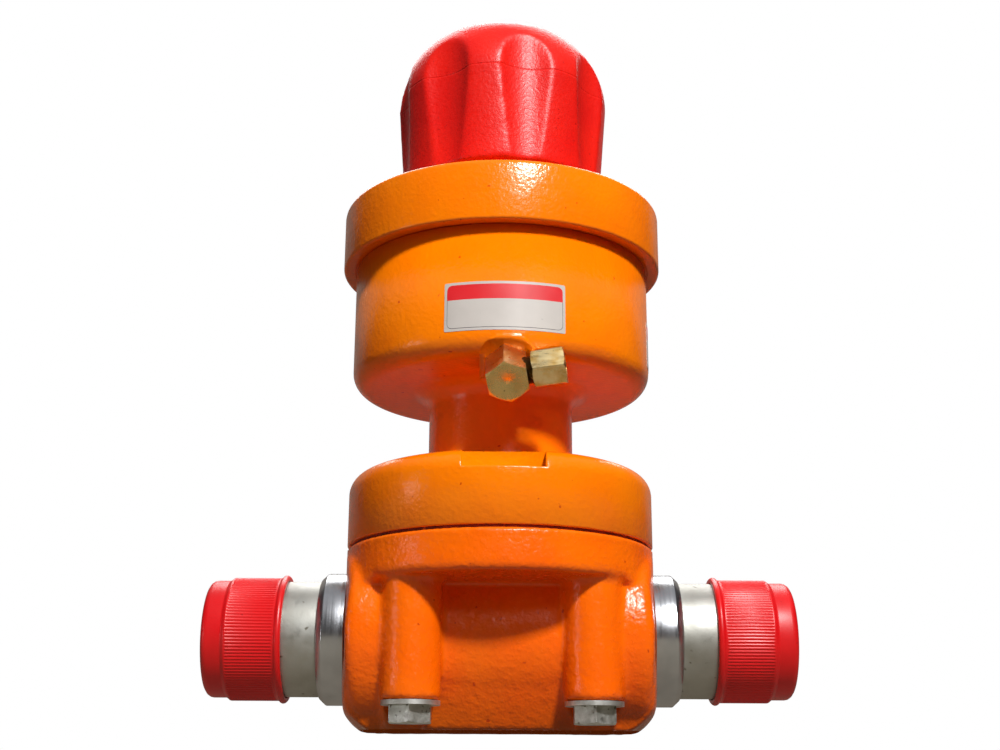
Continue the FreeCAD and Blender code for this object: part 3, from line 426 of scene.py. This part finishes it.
def addPiece(name, bm, finishNames, sharpAngle=32.0):
    mesh = bpy.data.meshes.new(name)
    bm.to_mesh(mesh)
    bm.free()
    for finish in finishNames:
        mesh.materials.append(finishes[finish])
    mesh.shade_smooth()
    mesh.set_sharp_from_angle(angle=math.radians(sharpAngle))
    piece = bpy.data.objects.new(name, mesh)
    scene.collection.objects.link(piece)
    return piece


def standFor(piece, node, body):
    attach(piece, body)
    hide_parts(node)
    return piece


def cutAcross(bm, place, normal):
    bmesh.ops.bisect_plane(bm, geom=bm.verts[:] + bm.edges[:] + bm.faces[:], dist=cutWithin,
                           plane_co=place, plane_no=normal)


def spinProfile(bm, corners, segments):
    # corners are (radius, height, edge round) in mm; the outline is closed and spun about Z
    points = [bm.verts.new((radius * mm, 0, height * mm)) for radius, height, _ in corners]
    for index in range(len(points)):
        bm.edges.new((points[index - 1], points[index]))
    for point, (_, _, rounding) in zip(points, corners):
        if rounding:
            bmesh.ops.bevel(bm, geom=[point], affect="VERTICES", offset=rounding * mm, segments=4,
                            profile=0.5, material=-1)
    bmesh.ops.spin(bm, geom=bm.verts[:] + bm.edges[:], cent=(0, 0, 0), axis=(0, 0, 1),
                   angle=2 * math.pi, steps=segments, use_merge=True)
    bmesh.ops.remove_doubles(bm, verts=bm.verts, dist=joinWithin)
    bmesh.ops.recalc_face_normals(bm, faces=bm.faces)


def layAlongPipe(bm, side):
    # from upright to the pipe axis: side 1 points right, side -1 left
    turn = Matrix.Rotation(math.radians(90 * side), 4, "Y")
    bmesh.ops.transform(bm, matrix=Matrix.Translation((0, 0, pipeHeight)) @ turn, verts=bm.verts)


# half widths at root and crest in pitches, the run-out in pitches, how deep the root sits in the core
ridgeForm = {"rootHalf": 0.44, "crestHalf": 0.08, "runOut": 0.7, "sunk": 0.15, "lowest": 0.05, "start": 0.1}


def addRidge(bm, ridge):
    # thread ridge: a trapezoid wound up along Z
    form = ridgeForm
    root, crest, pitch = ridge["root"], ridge["crest"], ridge["pitch"]
    start, end, steps = ridge["start"], ridge["end"], ridge["steps"]
    section = ((root, -form["rootHalf"]), (crest, -form["crestHalf"]), (crest, form["crestHalf"]),
               (root, form["rootHalf"]))
    points = [bm.verts.new((radius * mm, 0, (start + share * pitch) * mm)) for radius, share in section]
    face = bm.faces.new(points)
    turns = (end - start) / pitch
    count = round(turns * steps)
    made = bmesh.ops.spin(bm, geom=[face], cent=(0, 0, 0), axis=(0, 0, 1), angle=2 * math.pi * turns,
                          steps=count, dvec=(0, 0, (end - start) / count * mm), use_merge=False)
    bm.faces.ensure_lookup_table()
    ridgeFaces = set()
    reach = list(face.verts) + [e for e in made["geom_last"] if isinstance(e, bmesh.types.BMVert)]
    stack = list({f for v in reach for f in v.link_faces})
    while stack:
        item = stack.pop()
        if item in ridgeFaces:
            continue
        ridgeFaces.add(item)
        stack.extend({f for e in item.edges for f in e.link_faces} - ridgeFaces)
    taper = ridge.get("taper", 0.0)
    for vert in {v for f in ridgeFaces for v in f.verts}:
        height = vert.co.z / mm
        radius = math.hypot(vert.co.x, vert.co.y) / mm
        nearest = min(height - start, end - height)
        fade = min(1.0, nearest / (form["runOut"] * pitch) + form["start"])
        low = root - taper * (height - start) - form["sunk"]
        wanted = low + (radius - root + form["sunk"]) * max(fade, form["lowest"])
        vert.co.x *= wanted / radius
        vert.co.y *= wanted / radius
    bmesh.ops.recalc_face_normals(bm, faces=list(ridgeFaces))


def joinedNode(node):
    # a copy of the CAD solid with its loose triangles joined
    bm = bmesh.new()
    bm.from_mesh(cadNodes[node].data)
    bmesh.ops.remove_doubles(bm, verts=bm.verts, dist=joinWithin)
    for face in bm.faces:
        face.material_index = 0
    return bm


def joinInto(bm, other):
    mesh = bpy.data.meshes.new("joining")
    other.to_mesh(mesh)
    other.free()
    bm.from_mesh(mesh)
    bpy.data.meshes.remove(mesh)


# how much of the unevenness is even, long wave and short wave, and how much shorter the short wave is
swellShape = {"even": 0.5, "long": 0.35, "short": 0.15, "shorter": 2.7}


def softCasting(name, node, cast):
    # the CAD solid remeshed, its corners run soft and its skin slightly uneven, as a painted sand casting
    source = bpy.data.objects.new(name + "Source", bpy.data.meshes.new(name + "Source"))
    scene.collection.objects.link(source)
    bm = joinedNode(node)
    for extra in cast.get("added", []):
        joinInto(bm, extra())
    bm.to_mesh(source.data)
    bm.free()
    remesh = source.modifiers.new("skin", "REMESH")
    remesh.mode = "VOXEL"
    remesh.voxel_size = cast["voxel"] * mm
    skin = bpy.data.meshes.new_from_object(source.evaluated_get(bpy.context.evaluated_depsgraph_get()))
    bpy.data.objects.remove(source)
    skin.materials.clear()
    bm = bmesh.new()
    bm.from_mesh(skin)
    if "trim" in cast:
        cast["trim"](bm)
    soft = [vert for vert in bm.verts if cast["isSoft"](vert.co / mm)]
    for _ in range(cast["passes"]):
        bmesh.ops.smooth_vert(bm, verts=soft, factor=0.5, use_axis_x=True, use_axis_y=True, use_axis_z=True)
    bm.normal_update()
    depth, wave = cast["uneven"] * mm, cast["wave"] * mm
    for vert in soft:
        swell = (swellShape["even"] + swellShape["long"] * noise.noise(vert.co / wave)
                 + swellShape["short"] * noise.noise(vert.co * swellShape["shorter"] / wave))
        vert.co -= vert.normal * depth * min(max(swell, 0.0), 1.0)
    piece = addPiece(name, bm, [cast["finish"]], 180.0)
    print(name, "faces", len(piece.data.polygons))
    return piece


# ---- castings

# the port hubs run out square from the posts, past the round that the solid is turned to
hubShape = {
    "segments": 96, "axis": 33.5, "inner": 26.0, "start": 44.0, "radius": 35.5, "bore": 24.25,
    "rings": (26.5, 29.0, 31.4), "edge": 4.0,
    "face": 54.3, "crown": 3.4, "crownHalf": 28.0, "top": 50.6,
    "end": [(0.0, 47.2), (0.96, 48.33), (2.36, 50.1), (4.06, 51.61), (6.18, 53.15), (8.86, 53.76),
            (16.4, 54.26), (35.5, 54.71), (50.0, 53.87)],
    "foot": {"low": 18.0, "high": 26.5, "top": 14.6},
    "post": {"places": ((30.63, 32.97), (32.97, 30.63)), "radius": 10.5, "bottom": 9.5, "washerReach": 41.0}}


def endAt(height):
    # how far the hub's front corner reaches at this height
    stops = hubShape["end"]
    for (low, first), (high, second) in zip(stops, stops[1:]):
        if height <= high:
            return first + max(0.0, (height - low) / (high - low)) * (second - first)
    return stops[-1][1]


def crownAt(depth):
    return hubShape["crown"] * max(0.0, 1 - (depth / hubShape["crownHalf"]) ** 2)


def footAt(height):
    foot = hubShape["foot"]
    return foot["low"] + (foot["high"] - foot["low"]) * height / foot["top"]


def makeHub(side):
    shape = hubShape
    bm = bmesh.new()
    face = [(radius, shape["face"], 0) for radius in (shape["bore"],) + shape["rings"]]
    corner = (shape["radius"], shape["face"], shape["edge"] - 0.1)  # clear of the ring before it
    inside, outside = [(shape[name], shape["start"], 0) for name in ("bore", "radius")]
    spinProfile(bm, [inside] + face + [corner, outside], shape["segments"])
    layAlongPipe(bm, side)
    for vert in bm.verts:
        reach, height = abs(vert.co.x) / mm, max(vert.co.z / mm, 0.0)
        share = max(0.0, (reach - shape["face"] + shape["edge"]) / shape["edge"])
        vert.co.x *= (reach + share * (endAt(height) - shape["face"] + crownAt(vert.co.y / mm))) / reach
        vert.co.z = height * mm
    return bm


def makeHubFoot(side):
    shape = hubShape
    bm = bmesh.new()
    top = shape["foot"]["top"]
    heights = [height for height, _ in shape["end"] if height < top] + [top]
    front = [(endAt(height), height) for height in heights]
    outline = [(shape["start"], 0.0)] + front + [(shape["start"], top)]
    # made 2 mm wide, which footAt then widens
    face = bm.faces.new([bm.verts.new((side * reach * mm, -mm, height * mm)) for reach, height in outline])
    made = bmesh.ops.extrude_face_region(bm, geom=[face])
    for vert in made["geom"]:
        if isinstance(vert, bmesh.types.BMVert):
            vert.co.y = mm
    for vert in bm.verts:
        vert.co.y *= footAt(vert.co.z / mm)
    bmesh.ops.recalc_face_normals(bm, faces=bm.faces)
    return bm


def trimHubs(bm):
    # draws the turned outside in to the hubs' round and the posts
    shape, post = hubShape, hubShape["post"]
    for vert in bm.verts:
        x, y, height = vert.co / mm
        reach, depth = abs(x), abs(y)
        offAxis = math.hypot(depth, height - shape["axis"])
        if reach < shape["inner"] or height > shape["top"] or offAxis < shape["inner"]:
            continue
        if height < post["bottom"] and reach < post["washerReach"]:
            continue
        reach = min(reach, endAt(height) + crownAt(depth))
        over = min(max(reach - endAt(height) + shape["edge"], 0.0), shape["edge"])
        radius = shape["radius"] - shape["edge"] + math.sqrt(shape["edge"] ** 2 - over ** 2)
        limit = math.sqrt(max(radius ** 2 - (height - shape["axis"]) ** 2, 0.0))
        if height < shape["foot"]["top"]:
            limit = max(limit, footAt(height))
        postX, postY = post["places"][0 if x * y > 0 else 1]
        if height >= post["bottom"] and abs(reach - postX) < post["radius"]:
            limit = max(limit, postY + math.sqrt(post["radius"] ** 2 - (reach - postX) ** 2))
        vert.co.x = math.copysign(reach, x) * mm
        vert.co.y = math.copysign(min(depth, limit), y) * mm


lowerSoft = {"below": 64.0, "reach": 57.0, "portRadius": 26.0}


def isLowerSoft(place):
    # not at the seam, nor round the ends of the ports
    offAxis = math.hypot(place.y, place.z - hubShape["axis"])
    return place.z < lowerSoft["below"] and (abs(place.x) < lowerSoft["reach"]
                                             or offAxis > lowerSoft["portRadius"])


# the lower casting takes the darker, redder enamel, which is painted shade
lowerCast = {
    "voxel": 1.05, "passes": 4, "uneven": 0.2, "wave": 7.0, "finish": "shadedEnamel", "trim": trimHubs,
    "added": [lambda side=side, make=make: make(side) for side in (1, -1) for make in (makeHub, makeHubFoot)],
    "isSoft": isLowerSoft}


lowerCasting = softCasting("lowerCasting", "lower_body", lowerCast)
standFor(lowerCasting, "lower_body", "root")
upperCasting = addPiece("upperCasting", joinedNode("upper_housing"), ["orangeEnamel"])
standFor(upperCasting, "upper_housing", "root")
print("castings made")


# ---- end cap

capShape = {
    "segments": 192,
    "outline": [(58.0, 176.56, 0.5), (62.75, 176.56, 1.1), (62.75, 200.06, 2.0), (19.0, 200.06, 1.5),
                (19.0, 206.06, 1.5), (13.03, 206.06, 0.0), (13.03, 191.56, 0.0), (56.06, 191.56, 0.0),
                (56.06, 176.96, 0.0), (58.0, 176.96, 0.0)]}


def makeEndCap():
    bm = bmesh.new()
    spinProfile(bm, capShape["outline"], capShape["segments"])
    return addPiece("endCap", bm, ["orangeEnamel"])


standFor(makeEndCap(), "end_cap", "root")


# ---- hand knob

knobCore = 9.5  # the bore round the screw stays sharp within this radius
knobCast = {
    "voxel": 0.95, "passes": 4, "uneven": 0.08, "wave": 6.0, "finish": "redPlastic",
    "isSoft": lambda place: math.hypot(place.x, place.y) > knobCore}
partingLine = {"height": 250.1, "half": 0.28, "depth": 0.35, "innerReach": 30.0}
sameHeight = 1e-6


def makeKnob():
    piece = softCasting("handKnob", "knob", knobCast)
    bm = bmesh.new()
    bm.from_mesh(piece.data)
    for offset in (-partingLine["half"], 0.0, partingLine["half"]):
        cutAcross(bm, (0, 0, (partingLine["height"] + offset) * mm), (0, 0, 1))
    bm.normal_update()
    height, innerReach = partingLine["height"] * mm, partingLine["innerReach"] * mm
    middle = [v for v in bm.verts if abs(v.co.z - height) < sameHeight
              and v.normal.dot(Vector((v.co.x, v.co.y, 0))) > 0 and math.hypot(v.co.x, v.co.y) > innerReach]
    for vert in middle:
        vert.co -= Vector((vert.co.x, vert.co.y, 0)).normalized() * partingLine["depth"] * mm
    bm.to_mesh(piece.data)
    bm.free()
    piece.data.shade_smooth()
    return piece


standFor(makeKnob(), "knob", "knob_body")
print("cap and knob made")


# ---- adjusting screw

screwShape = {
    "segments": 48,
    "outline": [(0, 166.7, 0), (5.0, 166.7, 0.4), (5.0, 172.4, 0), (7.0, 172.4, 0), (7.0, 261.4, 0.6),
                (0, 261.4, 0)],
    "ridge": {"root": 7.0, "crest": 7.95, "pitch": 2.0, "start": 174.5, "end": 259.5, "steps": 36}}


def makeScrew():
    bm = bmesh.new()
    spinProfile(bm, screwShape["outline"], screwShape["segments"])
    addRidge(bm, screwShape["ridge"])
    return addPiece("adjustingScrew", bm, ["turnedSteel"])


standFor(makeScrew(), "adjusting_screw", "knob_body")


# ---- return spring


def makeSpring():
    # a joined copy of the CAD spring, given a mesh of its own
    spring = addPiece("returnSpring", joinedNode("return_spring"), ["turnedSteel"])
    standFor(spring, "return_spring", "root")
    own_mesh(spring)


makeSpring()


# ---- pipe nipples and lock collars

nippleShape = {
    "segments": 128,
    "outline": [(17.5, 43.0, 0.5), (21.08, 43.0, 0.8), (21.08, 79.4, 0.5), (19.75, 80.9, 0),
                (19.25, 98.0, 0.5), (18.3, 99.0, 0), (17.5, 99.0, 0.3)],
    "ridge": {"root": 19.75, "crest": 21.0, "pitch": 2.21, "start": 81.6, "end": 97.6, "steps": 64,
              "taper": 0.031}}
collarShape = {
    "segments": 128,
    "outline": [(21.12, 55.5, 0.3), (24.1, 55.5, 0.4), (24.1, 63.6, 0.25), (21.9, 66.0, 0.3),
                (21.12, 66.0, 0.0)]}


def makeNipple(name, side):
    bm = bmesh.new()
    spinProfile(bm, nippleShape["outline"], nippleShape["segments"])
    addRidge(bm, nippleShape["ridge"])
    layAlongPipe(bm, side)
    return addPiece(name, bm, ["satinZinc"])


def makeCollar(name, side):
    bm = bmesh.new()
    spinProfile(bm, collarShape["outline"], collarShape["segments"])
    layAlongPipe(bm, side)
    return addPiece(name, bm, ["brightZinc"])


# ---- thread protector caps

protector = {
    "ribs": 120, "perRib": 6, "ribDepth": 0.32, "bandStart": 81.4, "bandEnd": 98.3, "bandInside": 22.0,
    "slack": 0.01, "plainEnd": 0.1,
    "outline": [(21.38, 78.3, 0.3), (22.7, 78.3, 0.4), (23.4, 79.1, 0.4), (23.4, 80.0, 0.4),
                (22.45, 80.9, 0.3), (22.45, 81.4, 0), (22.45, 81.9, 0), (22.45, 97.8, 0), (22.45, 98.3, 0),
                (22.45, 98.7, 0.3), (21.35, 100.0, 0.4), (21.35, 107.5, 2.6), (0, 107.5, 0), (0, 105.8, 0),
                (19.65, 105.8, 1.0), (19.65, 99.6, 0), (21.38, 99.6, 0)]}


def makeProtector(name, side):
    bm = bmesh.new()
    count = protector["ribs"] * protector["perRib"]
    spinProfile(bm, protector["outline"], count)
    low = protector["bandStart"] - protector["slack"]
    high = protector["bandEnd"] + protector["slack"]
    for vert in bm.verts:
        height, radius = vert.co.z / mm, math.hypot(vert.co.x, vert.co.y) / mm
        if not (low < height < high and radius > protector["bandInside"]):
            continue
        turn = math.atan2(vert.co.y, vert.co.x) / (2 * math.pi) * protector["ribs"]
        valley = 0.5 - 0.5 * math.cos(2 * math.pi * turn)
        atEnd = min(height - low, high - height) < protector["plainEnd"]
        sink = 0.0 if atEnd else protector["ribDepth"] * valley
        vert.co.x *= (radius - sink) / radius
        vert.co.y *= (radius - sink) / radius
    layAlongPipe(bm, side)
    return addPiece(name, bm, ["redVinyl"], 40.0)


for sideName, side in (("right", 1), ("left", -1)):
    standFor(makeNipple(sideName + "Nipple", side), sideName + "_nipple", "root")
    standFor(makeCollar(sideName + "Collar", side), sideName + "_collar", "root")
    standFor(makeProtector(sideName + "Protector", side), sideName + "_thread_cap",
             sideName + "_cap")
print("pipe ends made")


# ---- brass elbow and fitting

def makeElbow():
    # the face is turned on a lathe, with a small centre mark
    bm = joinedNode("air_elbow")
    face = bmesh.new()
    spinProfile(face, elbowShape["face"], elbowShape["segments"])
    for item in face.faces:
        item.material_index = 1
    bmesh.ops.transform(face, matrix=elbowPlace(), verts=face.verts)
    joinInto(bm, face)
    return addPiece("airElbow", bm, ["plainBrass", "turnedBrass"], 25.0)


def makeFitting():
    # its thread beside the elbow is painted darker brass, as painted shade in that neck
    bm = joinedNode("air_fitting")
    place = elbowPlace()
    start = place @ Vector((0, 0, elbowShape["length"] / 2 * mm))
    right = place.to_3x3() @ Vector((1, 0, 0))
    for item in bm.faces:
        if (item.calc_center_median() - start).dot(right) < elbowShape["threadEnd"] * mm:
            item.material_index = 1
    return addPiece("airFitting", bm, ["plainBrass", "shadedThread"], 25.0)


standFor(makeElbow(), "air_elbow", "root")
standFor(makeFitting(), "air_fitting", "root")
print("brass made")


# ---- blank labels

labelShape = {
    "radius": 57.6, "thickness": 0.12, "width": 44.3, "bottom": 136.1, "top": 154.4, "centre": 1.4,
    "corner": 0.6, "inset": 1.0, "frameCorner": 1.9, "header": 5.6, "line": 0.16, "lift": 0.03,
    "sunk": 0.05, "chord": 1.0, "lastChord": 0.2}


def roundedPlate(bm, left, right, bottom, top, corners):
    # flat plate in X and Z, its corners rounded from the lower left to the upper right
    shift = Matrix.Translation(((left + right) / 2 * mm, 0, (bottom + top) / 2 * mm))
    size = Matrix.Diagonal(((right - left) / 2 * mm, (top - bottom) / 2 * mm, 1, 1))
    upright = Matrix.Rotation(math.radians(90), 4, "X")
    made = bmesh.ops.create_grid(bm, x_segments=1, y_segments=1, size=1, matrix=shift @ upright @ size)
    for vert, corner in zip(sorted(made["verts"], key=lambda v: (v.co.z, v.co.x)), corners):
        if corner:
            bmesh.ops.bevel(bm, geom=[vert], affect="VERTICES", offset=corner * mm, segments=6,
                            profile=0.5, material=-1)


def makeLabel(name, angle):
    half = labelShape["width"] / 2
    centre, inset, line = labelShape["centre"], labelShape["inset"], labelShape["line"]
    corner, frameCorner, lift = labelShape["corner"], labelShape["frameCorner"], labelShape["lift"]
    left, right = centre - half, centre + half
    bottom, top = labelShape["bottom"], labelShape["top"]
    split = top - inset - labelShape["header"]
    layers = [  # edges, corner rounds from lower left to upper right, rise, material
        (left, right, bottom, top, [corner] * 4, 0.0, 0),
        (left + inset, right - inset, bottom + inset, top - inset, [frameCorner] * 4, lift, 2),
        (left + inset + line, right - inset - line, bottom + inset + line, split,
         [frameCorner - line] * 2 + [0, 0], 2 * lift, 0),
        (left + inset, right - inset, split, top - inset, [0, 0] + [frameCorner] * 2, 2 * lift, 1)]
    whole = bmesh.new()
    for x0, x1, z0, z1, corners, rise, slotIndex in layers:
        bm = bmesh.new()
        roundedPlate(bm, x0, x1, z0, z1, corners)
        x = x0 + labelShape["chord"]
        while x < x1 - labelShape["lastChord"]:
            cutAcross(bm, (x * mm, 0, 0), (1, 0, 0))
            x += labelShape["chord"]
        inner = labelShape["radius"] - labelShape["sunk"]
        outer = labelShape["radius"] + labelShape["thickness"] + rise
        sheet = bmesh.ops.extrude_face_region(bm, geom=bm.faces[:])
        raised = {v for v in sheet["geom"] if isinstance(v, bmesh.types.BMVert)}
        for vert in bm.verts:
            radius = outer if vert in raised else inner
            bend = vert.co.x / mm / labelShape["radius"]
            vert.co = Vector((radius * math.sin(bend) * mm, -radius * math.cos(bend) * mm, vert.co.z))
        bmesh.ops.recalc_face_normals(bm, faces=bm.faces)
        for face in bm.faces:
            face.material_index = slotIndex
        joinInto(whole, bm)
    bmesh.ops.rotate(whole, verts=whole.verts, cent=(0, 0, 0),
                     matrix=Matrix.Rotation(math.radians(angle), 3, "Z"))
    piece = addPiece(name, whole, ["labelWhite", "labelRed", "labelInk"], 30.0)
    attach(piece, "root")
    return piece


makeLabel("frontLabel", 0.0)
makeLabel("sideLabel", 98.0)
print("labels made")


# ---- stage, light and camera

stageLook = {
    "floor": tint(238, 238, 238), "floorNear": tint(140, 120, 104), "floorDim": tint(76, 66, 60),
    "nearReach": (0.1, 0.26), "floorSize": 7.0, "floorRoughness": 0.7, "underFoot": 0.012,
    "world": (0.92, 0.95, 1.0, 1.0), "worldLevel": 0.08}
# level 1 renders a colour facing the lamp as it is written
lampLook = [
    {"name": "keyLamp", "azimuth": 18.0, "elevation": 38.7, "distance": 1.41, "size": (0.15, 0.15),
     "level": 1.3},
    {"name": "windowPanel", "azimuth": 13.0, "elevation": 23.3, "distance": 1.6, "size": (0.34, 0.27),
     "level": 0.06},
    {"name": "leftStrip", "azimuth": -67.0, "elevation": 1.0, "distance": 1.4, "size": (0.07, 0.3),
     "level": 0.05},
    {"name": "backLeftLamp", "azimuth": -165.0, "elevation": 48.0, "distance": 1.6, "size": (0.8, 0.8),
     "level": 0.35},
    {"name": "backRightLamp", "azimuth": 165.0, "elevation": 48.0, "distance": 1.6, "size": (0.8, 0.8),
     "level": 0.35}]
roomLook = {
    "radius": 2.6, "leftEdge": -128.0, "rightEdge": 140.0, "back": (0.3, 0.27, 0.24, 1.0),
    "low": (0.10, 0.08, 0.06, 1.0), "front": (0.035, 0.03, 0.03, 1.0), "top": (0.42, 0.42, 0.43, 1.0),
    "lowEnd": 0.46, "frontSpan": (0.51, 0.78), "topStart": 0.97,  # heights, from 0 at the bottom to 1
    "table": (0.38, 0.34, 0.27, 1.0), "tableBack": (0.16, 0.13, 0.1, 1.0), "tableTurn": (-0.08, 0.06),
    "tableHeight": 0.5}
cameraLook = {"lens": 50.04, "sensor": 36.0, "nearest": 0.01, "place": (-0.00034, -0.524, -0.0188),
              "upTilt": 16.5, "roll": 0.30}
aim = Vector((0, 0, 0.13))


def pathMix(tree, seen, unseen):
    # one shader for camera, glossy and transmission rays, another for the light that the stage throws
    path = tree.nodes.new("ShaderNodeLightPath")
    first = mathNode(tree, "MAXIMUM", path.outputs["Is Camera Ray"], path.outputs["Is Glossy Ray"])
    both = mathNode(tree, "MAXIMUM", first, path.outputs["Is Transmission Ray"])
    mix = tree.nodes.new("ShaderNodeMixShader")
    tree.links.new(both, mix.inputs["Fac"])
    tree.links.new(unseen, mix.inputs[1])
    tree.links.new(seen, mix.inputs[2])
    return mix.outputs["Shader"]


def makeFloor():
    bm = bmesh.new()
    bmesh.ops.create_grid(bm, x_segments=1, y_segments=1, size=stageLook["floorSize"] / 2)
    mesh = bpy.data.meshes.new("floor")
    bm.to_mesh(mesh)
    bm.free()
    floor = bpy.data.objects.new("floor", mesh)
    scene.collection.objects.link(floor)
    material = bpy.data.materials.new("paleFloor")
    material.use_nodes = True
    tree = material.node_tree
    pale = tree.nodes["Principled BSDF"]
    pale.inputs["Base Color"].default_value = stageLook["floor"]
    pale.inputs["Roughness"].default_value = stageLook["floorRoughness"]
    dim = tree.nodes.new("ShaderNodeBsdfDiffuse")  # throws more light up close to the foot
    away = tree.nodes.new("ShaderNodeVectorMath")
    away.operation = "LENGTH"
    tree.links.new(objectPlace(tree), away.inputs[0])
    fade = rangeNode(tree, away.outputs["Value"], stageLook["nearReach"])
    tree.links.new(blendNode(tree, fade, stageLook["floorNear"], stageLook["floorDim"]), dim.inputs["Color"])
    clear = tree.nodes.new("ShaderNodeBsdfTransparent")
    side = tree.nodes.new("ShaderNodeNewGeometry")
    mix = tree.nodes.new("ShaderNodeMixShader")
    path = tree.nodes.new("ShaderNodeLightPath")
    # clear to light that would reach the foot's underside, and from below, where the camera stands
    short = mathNode(tree, "LESS_THAN", path.outputs["Ray Length"], stageLook["underFoot"])
    under = mathNode(tree, "MULTIPLY", short, path.outputs["Is Diffuse Ray"])
    seeThrough = mathNode(tree, "MAXIMUM", side.outputs["Backfacing"], under)
    tree.links.new(seeThrough, mix.inputs["Fac"])
    tree.links.new(pathMix(tree, pale.outputs["BSDF"], dim.outputs["BSDF"]), mix.inputs[1])
    tree.links.new(clear.outputs["BSDF"], mix.inputs[2])
    tree.links.new(mix.outputs["Shader"], tree.nodes["Material Output"].inputs["Surface"])
    mesh.materials.append(material)


def glowMaterial(name):
    material = bpy.data.materials.new(name)
    material.use_nodes = True
    tree = material.node_tree
    tree.nodes.remove(tree.nodes["Principled BSDF"])
    light = tree.nodes.new("ShaderNodeEmission")
    tree.links.new(light.outputs["Emission"], tree.nodes["Material Output"].inputs["Surface"])
    return material, tree, light


def makeTableLight():
    # bright in front of the object, dim behind it
    material, tree, light = glowMaterial("tableLight")
    fade = rangeNode(tree, splitPlace(tree, objectPlace(tree))["Y"], roomLook["tableTurn"])
    tree.links.new(blendNode(tree, fade, roomLook["table"], roomLook["tableBack"]), light.inputs["Color"])
    return material


def makeRoom():
    # the darker room in front of the table and the table top, which only reflections show
    bm = bmesh.new()
    bmesh.ops.create_uvsphere(bm, u_segments=72, v_segments=36, radius=roomLook["radius"])
    for face in bm.faces:
        middle = face.calc_center_median()
        azimuth = math.degrees(math.atan2(middle.x, -middle.y))
        face.material_index = 0 if roomLook["leftEdge"] < azimuth < roomLook["rightEdge"] else 1
    table = bmesh.new()
    bmesh.ops.create_circle(table, cap_ends=True, segments=64, radius=roomLook["radius"],
                            matrix=Matrix.Translation((0, 0, roomLook["tableHeight"] * mm)))
    for face in table.faces:
        face.material_index = 2
    joinInto(bm, table)
    mesh = bpy.data.meshes.new("room")
    bm.to_mesh(mesh)
    bm.free()
    room = bpy.data.objects.new("room", mesh)
    scene.collection.objects.link(room)
    room.visible_camera = room.visible_diffuse = room.visible_shadow = False
    room.visible_transmission = False
    material, tree, light = glowMaterial("roomLight")
    upward = splitPlace(tree, objectPlace(tree))["Z"]
    height = mathNode(tree, "MULTIPLY_ADD", upward, 0.5 / roomLook["radius"], 0.5)
    ramp = tree.nodes.new("ShaderNodeValToRGB")
    stops = ramp.color_ramp.elements
    stops[0].position, stops[0].color = roomLook["lowEnd"], roomLook["low"]
    stops[1].position, stops[1].color = roomLook["topStart"], roomLook["top"]
    for position in roomLook["frontSpan"]:
        stops.new(position).color = roomLook["front"]
    tree.links.new(height, ramp.inputs["Fac"])
    tree.links.new(ramp.outputs["Color"], light.inputs["Color"])
    mesh.materials.append(material)
    plain, _, light = glowMaterial("backLight")
    light.inputs["Color"].default_value = roomLook["back"]
    mesh.materials.append(plain)
    mesh.materials.append(makeTableLight())


def makeLamps():
    for look in lampLook:
        azimuth, elevation = math.radians(look["azimuth"]), math.radians(look["elevation"])
        data = bpy.data.lights.new(look["name"], "AREA")
        data.shape = "RECTANGLE"
        data.size, data.size_y = look["size"]
        data.energy = look["level"] * (math.pi * look["distance"]) ** 2
        lamp = bpy.data.objects.new(look["name"], data)
        lamp.location = aim + look["distance"] * Vector((math.sin(azimuth) * math.cos(elevation),
                                                         -math.cos(azimuth) * math.cos(elevation),
                                                         math.sin(elevation)))
        lamp.rotation_euler = (aim - lamp.location).to_track_quat("-Z", "Y").to_euler()
        scene.collection.objects.link(lamp)


def makeWorld():
    world = bpy.data.worlds.new("studio")
    world.use_nodes = True
    scene.world = world
    tree = world.node_tree
    light = tree.nodes["Background"]
    light.inputs["Color"].default_value = stageLook["world"]
    light.inputs["Strength"].default_value = stageLook["worldLevel"]
    seen = tree.nodes.new("ShaderNodeBackground")
    seen.inputs["Color"].default_value = (1.0, 1.0, 1.0, 1.0)
    seen.inputs["Strength"].default_value = 1.0
    tree.links.new(pathMix(tree, seen.outputs["Background"], light.outputs["Background"]),
                   tree.nodes["World Output"].inputs["Surface"])


def makeCamera():
    data = bpy.data.cameras.new("camera")
    data.lens = cameraLook["lens"]
    data.sensor_width = cameraLook["sensor"]
    data.clip_start = cameraLook["nearest"]
    camera = bpy.data.objects.new("camera", data)
    pitch, roll = math.radians(90 + cameraLook["upTilt"]), math.radians(cameraLook["roll"])
    turn = Matrix.Rotation(pitch, 4, "X") @ Matrix.Rotation(roll, 4, "Z")
    camera.matrix_world = Matrix.Translation(cameraLook["place"]) @ turn
    scene.collection.objects.link(camera)
    scene.camera = camera


makeFloor()
makeRoom()
makeLamps()
makeWorld()
makeCamera()
scene.view_settings.view_transform = "Standard"
print("stage, light and camera made")
